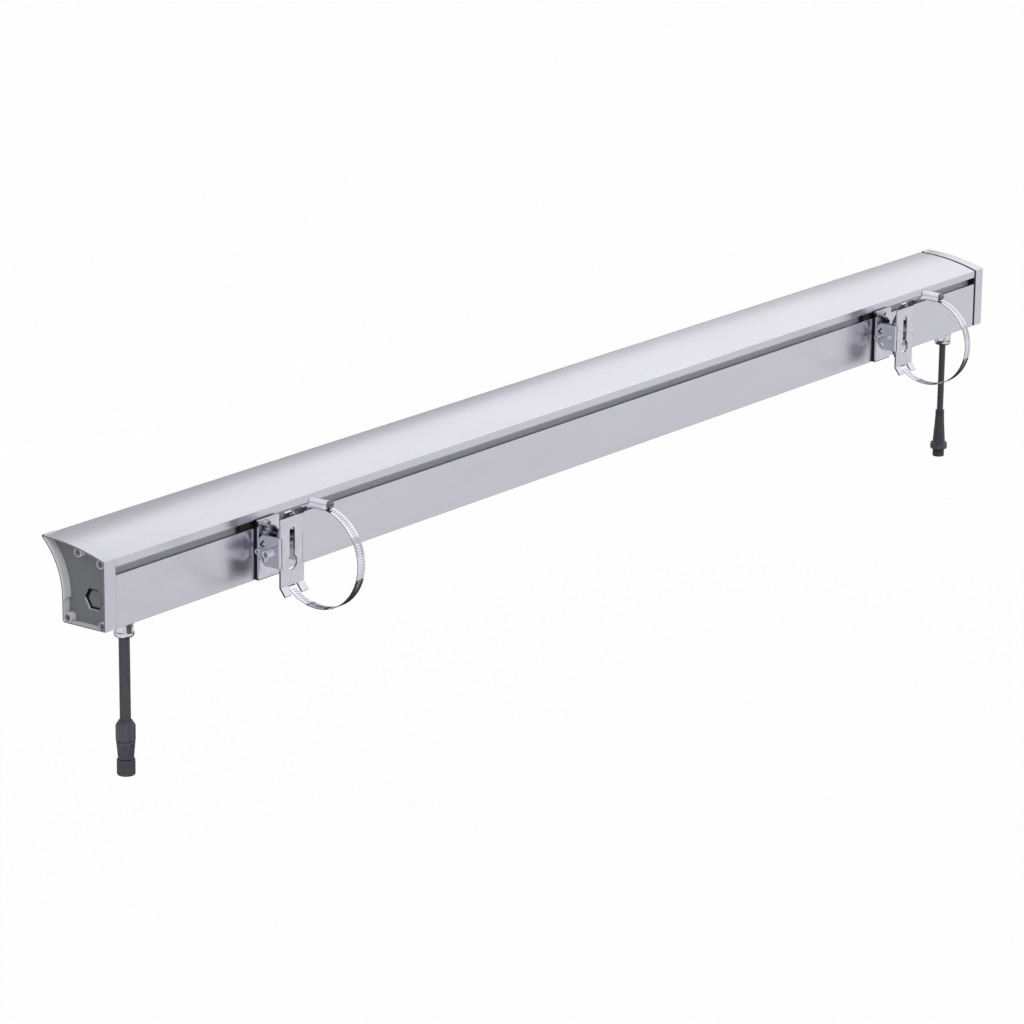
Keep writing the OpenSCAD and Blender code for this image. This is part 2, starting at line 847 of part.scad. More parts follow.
// Outer plate: a web with a keyhole, two ears on the pivot and four fingers that seat the pipe
module clamp_plate() {
    color(steel) difference() {
        union() {
            translate([0, web_back, web_bottom]) rotate([90, 0, 0]) linear_extrude(sheet) web_section();
            for (s = [-1, 1]) along_x(s > 0 ? web_half - finger_width : -web_half,
                                      s > 0 ? web_half : finger_width - web_half) fingered_section();
            for (s = [-1, 1]) along_x(s > 0 ? ear_half + ear_gap : -web_half,
                                      s > 0 ? web_half : -ear_half - ear_gap) ear_section();
        }
        rod_x(-40, 40, pivot, pivot_r + run_gap);
        along_x(-web_half - 1, -ear_half + 0.01) arc_slot();
        for (m = [[41.2, 6.6], [107.8, 4.6]])
            translate([-web_half - 1, pivot[0] + 15.3, pivot[1] + 5.4]) rotate([m[0], 0, 0])
                translate([0, -0.4, -0.3]) cube([1.5, 0.8, m[1]]);
        for (k = [0, 1]) mirror([k, 0, 0]) bend_corner();
    }
}

// Perforated band: a loose circle that passes behind the keyhole plate, between its ears
module band() {
    w = band_width / 2;
    color(steel) difference() {
        rod_x(-w, w, [0, 0], band_radius);
        rod_x(-w - 1, w + 1, [0, 0], band_radius - band_gauge);
        for (a = [slot_from:slot_pitch:slot_to])
            if (abs(a - case_angle) > case_half)
                rotate([a, 0, 0]) translate([0, band_radius, 0]) rotate([0, 12, 0])
                    cube([5.8, 4, 1.35], center = true);
    }
}

// Places a child on the band at the worm drive, Y along the band and Z outward
module at_worm() {
    rotate([case_angle - 90, 0, 0]) translate([0, 0, band_radius]) children();
}

module worm_case() {
    color(steel) difference() {
        union() {
            intersection() {
                difference() {
                    rod_x(-7, 7, [0, 0], band_radius + 1.6);
                    rod_x(-8, 8, [0, 0], band_radius - 1.6);
                }
                at_worm() translate([-10, -11, -6]) cube([20, 22, 12]);
            }
            at_worm() translate([0, -11, worm_rise]) rotate([-90, 0, 0]) cylinder(r = worm_r + 1.1, h = 22);
            at_worm() translate([-3.6, -11, 0]) cube([7.2, 22, worm_rise]);
        }
        difference() {
            rod_x(-band_width / 2 - 0.1, band_width / 2 + 0.1, [0, 0], band_radius + 0.05);
            rod_x(-8, 8, [0, 0], band_radius - band_gauge - 0.05);
        }
        at_worm() translate([0, -12, worm_rise]) rotate([-90, 0, 0]) cylinder(r = worm_r + run_gap, h = 21);
        at_worm() translate([0, -12, worm_rise]) rotate([-90, 0, 0]) cylinder(r = 1.8 + run_gap, h = 30);
    }
}

module worm_screw() {
    color(nickel) at_worm() translate([0, 0, worm_rise]) rotate([-90, 0, 0]) difference() {
        union() {
            translate([0, 0, -10.8]) cylinder(r = worm_r, h = 19.4);
            cylinder(r = 1.8, h = 14);
            translate([0, 0, -15]) cylinder(r = 7 * hex, h = 3.8, $fn = 6);
            translate([0, 0, -12]) cylinder(r = 2, h = 4);
        }
        translate([-5, -0.5, -16]) cube([10, 1, 2.4]);
    }
}

module slot_pad_left() {
    at_clamp(-1) slot_pad();
}

module base_plate_left() {
    at_clamp(-1) base_plate();
}

module slot_nut_left() {
    at_clamp(-1) slot_nut();
}

module slot_screw_left() {
    at_clamp(-1) slot_screw();
}

module pivot_bolt_left() {
    at_clamp(-1) pivot_bolt(-1);
}

module pivot_nut_left() {
    at_clamp(-1) pivot_nut(-1);
}

module pivot_pin_left() {
    at_clamp(-1) pivot_pin(-1);
}

module lock_screw_left() {
    at_clamp(-1) lock_screw();
}

module clamp_plate_left() {
    at_clamp(-1) clamp_plate();
}

module band_left() {
    at_clamp(-1) band();
}

module worm_case_left() {
    at_clamp(-1) worm_case();
}

module worm_screw_left() {
    at_clamp(-1) worm_screw();
}

module slot_pad_right() {
    at_clamp(1) slot_pad();
}

module base_plate_right() {
    at_clamp(1) base_plate();
}

module slot_nut_right() {
    at_clamp(1) slot_nut();
}

module slot_screw_right() {
    at_clamp(1) slot_screw();
}

module pivot_bolt_right() {
    at_clamp(1) pivot_bolt(1);
}

module pivot_nut_right() {
    at_clamp(1) pivot_nut(1);
}

module pivot_pin_right() {
    at_clamp(1) pivot_pin(1);
}

module lock_screw_right() {
    at_clamp(1) lock_screw();
}

module clamp_plate_right() {
    at_clamp(1) clamp_plate();
}

module band_right() {
    at_clamp(1) band();
}

module worm_case_right() {
    at_clamp(1) worm_case();
}

module worm_screw_right() {
    at_clamp(1) worm_screw();
}

housing();
end_cap_left();
end_cap_right();
cap_seal_left();
cap_seal_right();
cap_screws();
vent_rings();
vent_plugs();
vent_seals();
cover_lens();
lens_seals();
led_boards();
led_chips();
optic_strip();
reflector();
inner_screws();
driver();
driver_tray();
terminal_blocks();
inner_wires();
gland_body_left();
gland_body_right();
gland_nut_left();
gland_nut_right();
gland_locknuts();
gland_seals();
cable_left();
cable_right();
backnut_left();
plug_body_left();
coupling_ring_left();
contact_insert_left();
contacts_left();
plug_body_right();
plug_nose_right();
contacts_right();
slot_pad_left();
base_plate_left();
slot_nut_left();
slot_screw_left();
pivot_bolt_left();
pivot_nut_left();
pivot_pin_left();
lock_screw_left();
clamp_plate_left();
band_left();
worm_case_left();
worm_screw_left();
slot_pad_right();
base_plate_right();
slot_nut_right();
slot_screw_right();
pivot_bolt_right();
pivot_nut_right();
pivot_pin_right();
lock_screw_right();
clamp_plate_right();
band_right();
worm_case_right();
worm_screw_right();
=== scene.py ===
"""Looks of a linear floodlight on two pipe clamps, laid out as an add-on and run as a script.

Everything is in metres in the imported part's own frame: X runs along the lamp, Y from the pipe to the lit
front, Z up.
"""

import json
import math

import bmesh
import bpy
import numpy as np
from bpy.props import FloatProperty, FloatVectorProperty, IntProperty, PointerProperty
from mathutils import Matrix, Vector


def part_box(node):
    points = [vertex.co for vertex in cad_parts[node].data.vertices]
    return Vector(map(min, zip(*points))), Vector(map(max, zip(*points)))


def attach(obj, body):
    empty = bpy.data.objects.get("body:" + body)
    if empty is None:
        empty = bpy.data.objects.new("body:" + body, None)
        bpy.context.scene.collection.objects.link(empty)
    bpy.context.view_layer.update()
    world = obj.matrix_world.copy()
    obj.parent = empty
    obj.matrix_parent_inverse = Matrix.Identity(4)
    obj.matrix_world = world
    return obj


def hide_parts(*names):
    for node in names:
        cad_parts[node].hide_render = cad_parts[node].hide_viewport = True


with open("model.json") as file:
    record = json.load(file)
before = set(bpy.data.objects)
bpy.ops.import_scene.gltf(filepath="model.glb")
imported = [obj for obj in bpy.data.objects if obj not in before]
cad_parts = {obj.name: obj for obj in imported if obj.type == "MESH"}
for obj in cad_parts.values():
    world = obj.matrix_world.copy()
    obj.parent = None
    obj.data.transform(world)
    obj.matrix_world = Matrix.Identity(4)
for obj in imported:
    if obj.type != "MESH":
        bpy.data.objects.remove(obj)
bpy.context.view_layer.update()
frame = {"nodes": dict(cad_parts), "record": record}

bl_info = {
    "name": "Linear floodlight",
    "version": (1, 0, 0),
    "blender": (4, 5, 0),
    "location": "3D View > Sidebar > Floodlight",
    "description": "Dresses the packed linear floodlight and sets its studio",
    "category": "Object",
}

MM = 0.001
NODES = frame["nodes"]
SIDES = {"left": -1, "right": 1}

# Section of the lamp, from its flat side and its bottom
SIDE_HEIGHT = 0.070
TIP_REACH = 0.0795
TIP_HEIGHT = 0.0826
CROWN_RADIUS = 0.248
BASE_DEPTH = 0.055
FRONT_RADIUS = 0.075
FRONT_START = 0.025
GROOVE_HEIGHT = 0.0576
GROOVE_HALF = 0.0058
PORTS = ((0.005, 0.0046), (0.0496, 0.0052), (0.0064, 0.0664), (0.035, 0.0732))

# End caps, as distances from the middle of the lamp
TRAY_FLOOR_SIDE = 0.8112
BOSS_FACE = 0.8118
VENT_FACE = 0.8044
VENT_FOOT = 0.8021


# Driving sizes and colours

def length(name, description, default, low, high):
    return FloatProperty(name=name, description=description, default=default, min=low, max=high,
                         unit="LENGTH")


def tint(name, description, default):
    return FloatVectorProperty(name=name, description=description, default=default, min=0, max=1,
                               subtype="COLOR")


class FloodlightSizes(bpy.types.PropertyGroup):
    cable_inset: length("Cable place", "Distance of each cable from the middle of the lamp", 0.761, 0.5, 0.8)
    cable_depth: length("Cable depth", "Distance of each cable from the pipe's axis", 0.093, 0.08, 0.12)
    cable_left: length("Left cable", "Diameter of the left cable", 0.011, 0.008, 0.012)
    cable_right: length("Right cable", "Diameter of the right cable", 0.0078, 0.006, 0.01)
    hex_flats: length("Gland flats", "Across flats of the cable glands", 0.018, 0.016, 0.02)
    thread_pitch: length("Worm pitch", "Pitch of the worm screw's thread", 0.00275, 0.002, 0.004)
    knurls: IntProperty(
        name="Knurls", description="Teeth round a knurled screw head", default=36, min=24, max=60)


class FloodlightColours(bpy.types.PropertyGroup):
    profile: tint("Profile", "Anodised aluminium of the extruded profile", (0.56, 0.555, 0.61))
    cap: tint("Cap tray", "Paint in the trays of the end caps", (0.2, 0.207, 0.222))
    casting: tint("Bare casting", "Rims, walls and bosses of the end caps' trays", (0.78, 0.785, 0.83))
    steel: tint("Stainless steel", "Brackets, bands and screws", (0.565, 0.56, 0.625))
    nickel: tint("Nickel", "Plating of the cable glands", (0.64, 0.64, 0.69))
    sheath: tint("Cable sheath", "Cables and moulded connectors", (0.061, 0.062, 0.078))
    # The rubber's black also serves as the painted shade in the vent's pocket.
    rubber: tint("Rubber", "Seals and pads", (0.012, 0.012, 0.014))


def sizes():
    return bpy.context.scene.floodlight_sizes


def colours():
    return bpy.context.scene.floodlight_colours


# Shader sums

def worked_out(operation, swapped=False):
    """Operator of Value that adds the Math node of an operation."""

    def method(self, *others):
        values = (self, *others)
        return self.math(operation, *(values[::-1] if swapped else values))
    return method


class Value:
    """One shader socket that takes part in sums: each operator adds the Math node that works it out."""

    def __init__(self, finish, socket):
        self.finish = finish
        self.socket = socket

    def math(self, operation, *values):
        return self.finish.node("ShaderNodeMath", {"operation": operation}, *values)

    __add__, __radd__ = worked_out("ADD"), worked_out("ADD", True)
    __sub__, __rsub__ = worked_out("SUBTRACT"), worked_out("SUBTRACT", True)
    __mul__, __rmul__ = worked_out("MULTIPLY"), worked_out("MULTIPLY", True)
    __pow__, __abs__, __gt__ = worked_out("POWER"), worked_out("ABSOLUTE"), worked_out("GREATER_THAN")


def span(first, second):
    """Distance over two shader values that stand square to each other."""
    return (first ** 2.0 + second ** 2.0) ** 0.5


class Finish:
    """A node tree under construction, of a material or of the world. node() makes any node from its type,
    its settings and its inputs."""

    def __init__(self, name, holders="materials", end="ShaderNodeOutputMaterial"):
        self.holder = getattr(bpy.data, holders).new(name)
        self.holder.use_nodes = True
        self.tree = self.holder.node_tree
        self.tree.nodes.clear()
        self.output = self.tree.nodes.new(end)

    def node(self, kind, settings=None, *values, output=0, **named):
        """Adds a node: settings first, then inputs by place or by name."""
        node = self.tree.nodes.new(kind)
        for key, setting in (settings or {}).items():
            setattr(node, key, setting)
        pairs = [(node.inputs[i], v) for i, v in enumerate(values)]
        pairs += [(node.inputs[key.replace("_", " ")], v) for key, v in named.items()]
        for socket, value in pairs:
            self.feed(socket, value)
        return Value(self, node.outputs[output])

    def feed(self, socket, value):
        if isinstance(value, Value):
            self.tree.links.new(value.socket, socket)
        elif value is not None:
            socket.default_value = value

    def place(self):
        """Object coordinates, which are the part's own metres."""
        return self.node("ShaderNodeTexCoord", output=3)

    def axes(self, vector):
        split = self.node("ShaderNodeSeparateXYZ", None, vector)
        return [Value(self, socket) for socket in split.socket.node.outputs]

    def stretched(self, vector, scale):
        return self.node("ShaderNodeVectorMath", {"operation": "MULTIPLY"}, vector, scale)

    def noise(self, vector, scale, detail=3.0, roughness=0.5):
        return self.node("ShaderNodeTexNoise", {"noise_dimensions": "3D"}, Vector=vector, Scale=scale,
                         Detail=detail, Roughness=roughness)

    def blend(self, mask, first, second):
        """Colour that goes from the first to the second as the mask rises from 0 to 1."""
        node = self.node("ShaderNodeMix", {"data_type": "RGBA"}).socket.node
        for place, value in ((0, mask), (6, wide(first)), (7, wide(second))):
            self.feed(node.inputs[place], value)
        return Value(self, node.outputs[2])

    def between(self, value, low, high):
        """Remaps a value so that low becomes 0 and high becomes 1, held inside that range."""
        return self.node("ShaderNodeMapRange", {"clamp": True}, value, low, high, 0.0, 1.0)

    def bump(self, height, distance, strength=1.0, rounding=None):
        """Normals raised by a height. A rounding also rounds the edges over, as light deburring does."""
        normal = rounding and self.node("ShaderNodeBevel", {"samples": 4}, rounding)
        return self.node("ShaderNodeBump", None, Strength=strength, Distance=distance, Height=height,
                         Normal=normal)

    def seen(self):
        """1 for the rays of the camera, of glossy and of clear pieces."""
        rays = self.node("ShaderNodeLightPath").socket.node.outputs
        kinds = ("Camera", "Glossy", "Transmission")
        camera, glossy, clear = (Value(self, rays[f"Is {kind} Ray"]) for kind in kinds)
        return camera.math("MAXIMUM", camera, camera.math("MAXIMUM", glossy, clear))

    def surface(self, **named):
        """Ends the material in a Principled shader."""
        shader = self.node("ShaderNodeBsdfPrincipled")
        for key, value in named.items():
            socket = shader.socket.node.inputs[key.replace("_", " ")]
            self.feed(socket, wide(value) if key == "Base_Color" else value)
        self.tree.links.new(shader.socket, self.output.inputs[0])
        return self.holder


def wide(colour):
    """A colour of three numbers as the four that a socket takes."""
    return colour if isinstance(colour, Value) or len(colour) == 4 else (*colour, 1.0)


def shades(colour, *factors):
    """A colour made darker or lighter by each factor."""
    return [tuple(min(1.0, c * factor) for c in colour) for factor in factors]


# Finishes

def profile_finish():
    """Satin anodised extrusion: fine drawing lines along X and a faint cloudiness. In the groove, the lower
    lip and the floor are painted darker as painted shade, and the wall behind is pale and dull."""
    f = Finish("anodised_profile")
    place = f.place()
    _, y, z = f.axes(place)
    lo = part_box("housing")[0]
    depth, rise = y - lo[1], abs(z - lo[2] - GROOVE_HEIGHT)
    groove = (f.between(rise, GROOVE_HALF, GROOVE_HALF - 0.0001) * f.between(depth, 0.0002, 0.0003)
              * f.between(depth, 0.0094, 0.0093))
    back = groove * f.between(depth, 0.0080, 0.0082)
    # Painted shade in the groove, darkest towards its mouth.
    groove_painted_shade = (groove - back) * f.between(depth, 0.0088, 0.0004)
    lines = f.noise(f.stretched(place, (6.0, 2600.0, 2600.0)), 1.0, 2.0, 0.6)
    clouds = f.noise(f.stretched(place, (5.0, 22.0, 22.0)), 1.0, 3.0, 0.55)
    cloudy = f.between(lines * 0.35 + clouds * 0.65, 0.35, 0.68)
    base = f.blend(cloudy, *shades(colours().profile, 0.965, 1.03))
    base = f.blend(back, f.blend(groove_painted_shade, base, (0.22, 0.22, 0.245)), (0.7, 0.7, 0.77))
    return f.surface(Base_Color=base, Metallic=1.0 - back * 0.7, Roughness=0.2 + lines * 0.08 + groove * 0.2,
                     Normal=f.bump(lines, 0.00004, 0.35, 0.0005))


def cap_finish():
    """Cast cap: the outer skin is as light as the profile, the tray's walls and bosses are bare casting,
    and its floor is dark grey paint."""
    f = Finish("cast_cap")
    place = f.place()
    inside, cast, lip = tray_masks(f, place)
    speck = f.noise(place, 1400.0, 3.0, 0.6)
    cloud = f.noise(place, 60.0, 2.0, 0.5)
    dark = f.blend(f.between(speck, 0.3, 0.7), *shades(colours().cap, 0.9, 1.12))
    light = f.blend(cloud, *shades(colours().profile, 0.97, 1.02))
    bare = f.blend(speck, *shades(colours().casting, 0.95, 1.05))
    # The narrow dark line along the rim is painted shadow.
    base = f.blend(lip, f.blend(inside, f.blend(cast, light, bare), dark), (0.11, 0.11, 0.125))
    return f.surface(Base_Color=base, Metallic=(1.0 - inside) * (1.0 - cast),
                     Roughness=0.22 + cast * 0.25 + speck * 0.06, Normal=f.bump(speck, 0.00004, 0.3, 0.0005))


def tray_masks(f, place):
    """Three masks of an end cap: the floor of its tray with the faces of its bosses, all that is inside the
    outer skin, and the narrow shadow line of the rim. The section's outline is the flat side, the bottom,
    the crown's circle and the hollow front's circle, each moved inwards by the tray's rim for the floor and
    by a hair for the skin."""
    x, y, z = f.axes(place)
    x, lo = abs(x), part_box("housing")[0]
    depth, rise = y - lo[1], z - lo[2]
    lean = math.atan2(TIP_HEIGHT - SIDE_HEIGHT, TIP_REACH)
    drop = math.sqrt(CROWN_RADIUS ** 2 - (math.hypot(TIP_REACH, TIP_HEIGHT - SIDE_HEIGHT) / 2) ** 2)
    crown = CROWN_RADIUS - span(depth - (TIP_REACH / 2 + drop * math.sin(lean)),
                                rise - ((SIDE_HEIGHT + TIP_HEIGHT) / 2 - drop * math.cos(lean)))
    hollow = span(depth - (BASE_DEPTH + FRONT_RADIUS), rise - FRONT_START) - FRONT_RADIUS
    upper = rise > FRONT_START - 0.0005

    def rimmed(value, edge=0.0014):
        return f.between(value, edge, edge + 0.00005)

    def skinned(value):
        return f.between(value, 0.0002, 0.0003)
    front = upper * rimmed(hollow, 0.00365) + (1.0 - upper) * rimmed(BASE_DEPTH - depth)
    sunk = f.between(TRAY_FLOOR_SIDE - x, 0.0, 0.0001)
    floor = rimmed(depth) * rimmed(rise) * rimmed(crown) * front * sunk
    faces = (f.between(x, BOSS_FACE - 0.0002, BOSS_FACE - 0.0001)
             * f.between(x, BOSS_FACE + 0.0006, BOSS_FACE + 0.0005) * 0.7)
    for port_y, port_z in PORTS:
        from_port = span(depth - port_y, rise - port_z)
        floor = floor * rimmed(from_port, 0.0046) + faces * f.between(from_port, 0.00385, 0.0038)
    slope = upper * hollow + (1.0 - upper) * (BASE_DEPTH - depth)
    cast = skinned(depth) * skinned(rise) * skinned(crown) * skinned(slope)
    nearest = depth.math("MINIMUM", depth.math("MINIMUM", depth, rise), depth.math("MINIMUM", crown, slope))
    return floor, cast, cast * (1.0 - f.between(nearest, 0.0010, 0.0012))


def steel_finish(name="stainless_sheet", tone=1.0, rough=(0.07, 0.08), rounding=0.0004, metallic=1.0,
                 marks=()):
    """Polished stainless steel: a little darker in patches, with the grain of its rolled surface. Each mark
    is a mask made from the finish and the place, its colour, and what it takes from the metal and adds to
    the roughness."""
    f = Finish(name)
    place = f.place()
    grain = f.noise(f.stretched(place, (260.0, 260.0, 2400.0)), 1.0, 3.0, 0.6)
    patch = f.noise(place, 90.0, 3.0, 0.55)
    base = f.blend(f.between(patch, 0.3, 0.7), *shades(colours().steel, 0.93 * tone, 1.06 * tone))
    rough = rough[0] + grain * rough[1]
    for mask_of, colour, dulled, roughened in marks:
        mask = mask_of(f, place)
        base = f.blend(mask, base, colour)
        if dulled:
            metallic = metallic - mask * dulled
            rough = rough + mask * roughened
    normal = f.bump(grain, 0.00003, 0.3, rounding) if rounding else None
    return f.surface(Base_Color=base, Metallic=metallic, Roughness=rough, Normal=normal)


def screw_finish(name="bright_screw", tone=1.3, metallic=0.8):
    """Bright rolled screw: painted paler than sheet as painted light, so that its shaded socket doesn't go
    black, and a little duller.
    """
    return steel_finish(name, tone, (0.16, 0.1), 0.0003, metallic)


def plate_finish(side):
    """Polished plate whose pointer mark beside the arc slot is filled with black. Each of its two legs is
    the strip within a distance of a line from the mark's point, as far as the leg's length."""

    def pointer(f, place):
        x, y, z = f.axes(place)
        hinge = joint(f"tilt_{side}")["pos_m"]
        y, z = y - (hinge[1] + 0.0153), z - (hinge[2] + 0.0054)
        legs = []
        for lean, leg in ((41.2, 0.0064), (107.8, 0.0044)):
            sin, cos = math.sin(math.radians(lean)), math.cos(math.radians(lean))
            reach = z * cos - y * sin
            legs.append((1.0 - f.between(abs(y * cos + z * sin), 0.0009, 0.00098))
                        * f.between(reach, -0.0006, -0.0005) * (1.0 - f.between(reach, leg, leg + 0.0001)))
        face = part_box(f"clamp_plate_{side}")[0][0]
        return legs[0].math("MAXIMUM", *legs) * (1.0 - f.between(x - face, 0.0006, 0.0007))
    return steel_finish(f"marked_plate_{side}", marks=[(pointer, (0.01, 0.01, 0.01), 1.0, 0.5)])


def base_plate_finish():
    """Polished plate: its lower edge is painted dark, a painted shade line, and its upper edge is painted
    paler and less metallic, a painted highlight."""
    low, top = (corner[2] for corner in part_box("base_plate_left"))

    # Painted shade along the lower edge.
    def painted_low_edge_shade(f, place):
        return f.between(f.axes(place)[2], low + 0.0008, low + 0.0007)

    # Painted highlight along the upper edge.
    def painted_top_edge_highlight(f, place):
        return f.between(f.axes(place)[2], top - 0.0007, top - 0.0006)
    return steel_finish("plate_painted_edge_light", marks=[(painted_low_edge_shade, (0.03, 0.03, 0.035), 0.0, 0.0),
                                                (painted_top_edge_highlight, (0.95, 0.95, 0.96), 0.8, 0.5)])


def band_finish():
    """Bright band. The walls of its slots and its side edges are painted dark as painted shade, by their
    distance from its middle surface."""
    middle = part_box("band_left")[1][1] - 0.00035

    # Painted shade on the slot walls and the side edges.
    def walls(f, place):
        _, y, z = f.axes(place)
        return 1.0 - f.between(abs(span(y, z) - middle), 0.00028, 0.00031)
    return steel_finish("bright_band", 1.15, (0.06, 0.08), None,
                        marks=[(walls, (0.05, 0.05, 0.055), 0.0, 0.0)])


def case_finish(side):
    """Bright worm case: its inside and its mouths are painted dark, painted shade round the threads."""
    centre = joint(f"worm_turn_{side}")["pos_m"]

    # Painted shade inside the case and at its mouths.
    def inside(f, place):
        x, _, z = f.axes(place)
        return 1.0 - f.between(span(x - centre[0], z - centre[2]), 0.0033, 0.0036)
    return steel_finish(f"bright_case_{side}", 1.5, (0.05, 0.08), 0.0003,
                        marks=[(inside, (0.04, 0.04, 0.042), 0.0, 0.0)])


def joint(name):
    """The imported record's entry of a joint."""
    return next(j for j in frame["record"]["behaviour"]["joints"] if j["name"] == name)


def oxide_finish():
    """Black oxide on steel: nearly black, with a faint brown and grey clouding. Behind the base plate the nut
    is painted pale and less metallic, as painted light."""
    f = Finish("black_oxide")
    place = f.place()
    cloud = f.noise(place, 160.0, 3.0, 0.6)
    lo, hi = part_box("base_plate_right")
    half = (hi[0] - lo[0]) / 2
    # Painted light: pale over the base plate's width.
    painted_light_behind_plate = f.between(abs(abs(f.axes(place)[0] - 0.005) - (lo[0] + half)), half, half - 0.0002)
    base = f.blend(f.between(cloud, 0.3, 0.7), (0.016, 0.016, 0.018), (0.035, 0.034, 0.035))
    return f.surface(Base_Color=f.blend(painted_light_behind_plate, base, (0.8, 0.8, 0.88)), Metallic=0.6 - painted_light_behind_plate * 0.4,
                     Roughness=0.35 + cloud * 0.2, Normal=f.bump(cloud, 0.00004, 0.2))


def sheath_finish(name="cable_sheath", factor=1.0, rough=0.42):
    """Extruded or moulded black compound: fine orange peel, slight dust in patches."""
    f = Finish(name)
    place = f.place()
    peel = f.noise(place, 1900.0, 2.0, 0.5)
    dust = f.noise(place, 140.0, 4.0, 0.6)
    base = f.blend(f.between(dust, 0.35, 0.75), *shades(colours().sheath, 0.9 * factor, 1.2 * factor))
    return f.surface(Base_Color=base, Roughness=rough + dust * 0.2, Normal=f.bump(peel, 0.00005, 0.5))


def moulded_finish():
    """Moulded black plug, by the distance from the cable's axis: what stands out is painted lighter, a
    painted highlight, and what is sunk is painted darker, a painted shade; what stands out is also glossier
    from handling."""
    f = Finish("moulded_plug")
    place = f.place()
    peel = f.noise(place, 1900.0, 2.0, 0.5)
    x, y, _ = f.axes(place)
    # Painted highlight on the ridges and painted shade in the hollows; the ridges are also polished.
    ridge_highlight_and_polish = f.between(span(abs(x) - sizes().cable_inset, y - sizes().cable_depth), 0.0086, 0.0100)
    return f.surface(Base_Color=f.blend(ridge_highlight_and_polish, *shades(colours().sheath, 0.82, 1.45)),
                     Roughness=0.45 - ridge_highlight_and_polish * 0.12, Normal=f.bump(peel, 0.00005, 0.5))


def vent_finish():
    """White sleeve in the vent's pocket, painted over with the tray on the face that is level with it. Its
    white is partly a painted highlight of the lit pocket wall, and its upper half and its foot are black
    painted shade."""
    f = Finish("vent_sleeve_painted_light")
    place = f.place()
    x, _, z = f.axes(place)
    x = abs(x)
    peel = f.noise(place, 700.0, 2.0, 0.5)
    white = f.blend(peel, (0.95, 0.95, 0.94), (0.99, 0.99, 0.98))
    low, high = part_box("vent_plugs")
    middle = (low[2] + high[2]) / 2
    # Painted shade in black on the upper half, which faces down, and on the foot deep in the gap.
    painted_lit_wall = (1.0 - f.between(z, middle, middle + 0.0002)) * f.between(x, VENT_FOOT, VENT_FOOT + 0.0001)
    sleeve = f.blend(painted_lit_wall, colours().rubber, white)
    return f.surface(Base_Color=f.blend(f.between(x, VENT_FACE, VENT_FACE + 0.00005), sleeve, colours().cap),
                     Roughness=0.35 + peel * 0.15, Normal=f.bump(peel, 0.00005, 0.3))


def grained(name, grain, tones, rough, bump=None, stretch=None, contrast=None, **inputs):
    """A finish of one noise, whose scale, detail and roughness are the grain, stretched along the axes. It
    mixes the two tones, adds to the roughness, and raises the surface by a bump's distance, strength and
    rounding."""
    f = Finish(name)
    place = f.place()
    noise = f.noise(f.stretched(place, stretch) if stretch else place, *grain)
    if bump:
        inputs["Normal"] = f.bump(noise, *bump)
    return f.surface(Base_Color=f.blend(f.between(noise, *contrast) if contrast else noise, *tones),
                     Roughness=rough[0] + noise * rough[1], **inputs)


def nickel_finish():
    return grained("bright_nickel", (380.0, 3.0, 0.6), shades(colours().nickel, 0.93, 1.05), (0.1, 0.1),
                   (0.00004, 0.25, 0.0003), contrast=(0.3, 0.7), Metallic=1.0)


def rubber_finish(name="black_rubber"):
    return grained(name, (900.0, 3.0, 0.6), shades(colours().rubber, 0.8, 1.6), (0.55, 0.2), (0.0001, 0.4),
                   Specular_IOR_Level=0.25)


def clear_finish():
    """Clear polycarbonate cover."""
    return grained("clear_cover", (1.0, 2.0, 0.5), ((0.86, 0.88, 0.89), (0.92, 0.94, 0.95)), (0.03, 0.05),
                   (0.0001, 0.04), (3.0, 120.0, 120.0), Alpha=0.13, Coat_Weight=1.0)


def white_finish():
    return grained("white_moulding", (700.0, 2.0, 0.5), ((0.82, 0.82, 0.80), (0.9, 0.9, 0.89)), (0.35, 0.15),
                   (0.00005, 0.3))


def phosphor_finish():
    return grained("light_source", (2600.0, 2.0, 0.6), ((0.85, 0.66, 0.2), (0.95, 0.82, 0.38)), (0.3, 0.2),
                   (0.00004, 0.3))


def contact_finish():
    return grained("plated_contact", (900.0, 2.0, 0.6), ((0.78, 0.58, 0.24), (0.92, 0.74, 0.38)),
                   (0.18, 0.12), Metallic=1.0)


def bright_finish():
    """Bright drawn aluminium of the reflector and the driver's tray."""
    return grained("bright_aluminium", (1.0, 2.0, 0.6), ((0.74, 0.75, 0.76), (0.86, 0.87, 0.88)),
                   (0.25, 0.14), (0.00003, 0.3), (4.0, 1800.0, 1800.0), Metallic=0.55)


# Surfaces

def put_mesh(name, points, faces, finish, smooth=40.0):
    """Makes a mesh object from points and faces, with its normals outward and its flat edges kept."""
    mesh = bpy.data.meshes.new(name)
    mesh.from_pydata(np.asarray(points).tolist(), [], faces)
    build = bmesh.new()
    build.from_mesh(mesh)
    bmesh.ops.remove_doubles(build, verts=build.verts, dist=1e-7)
    bmesh.ops.recalc_face_normals(build, faces=build.faces)
    build.to_mesh(mesh)
    build.free()
    mesh.shade_smooth()
    mesh.set_sharp_from_angle(angle=math.radians(smooth))
    mesh.materials.append(finish)
    piece = bpy.data.objects.new(name, mesh)
    bpy.context.collection.objects.link(piece)
    return piece


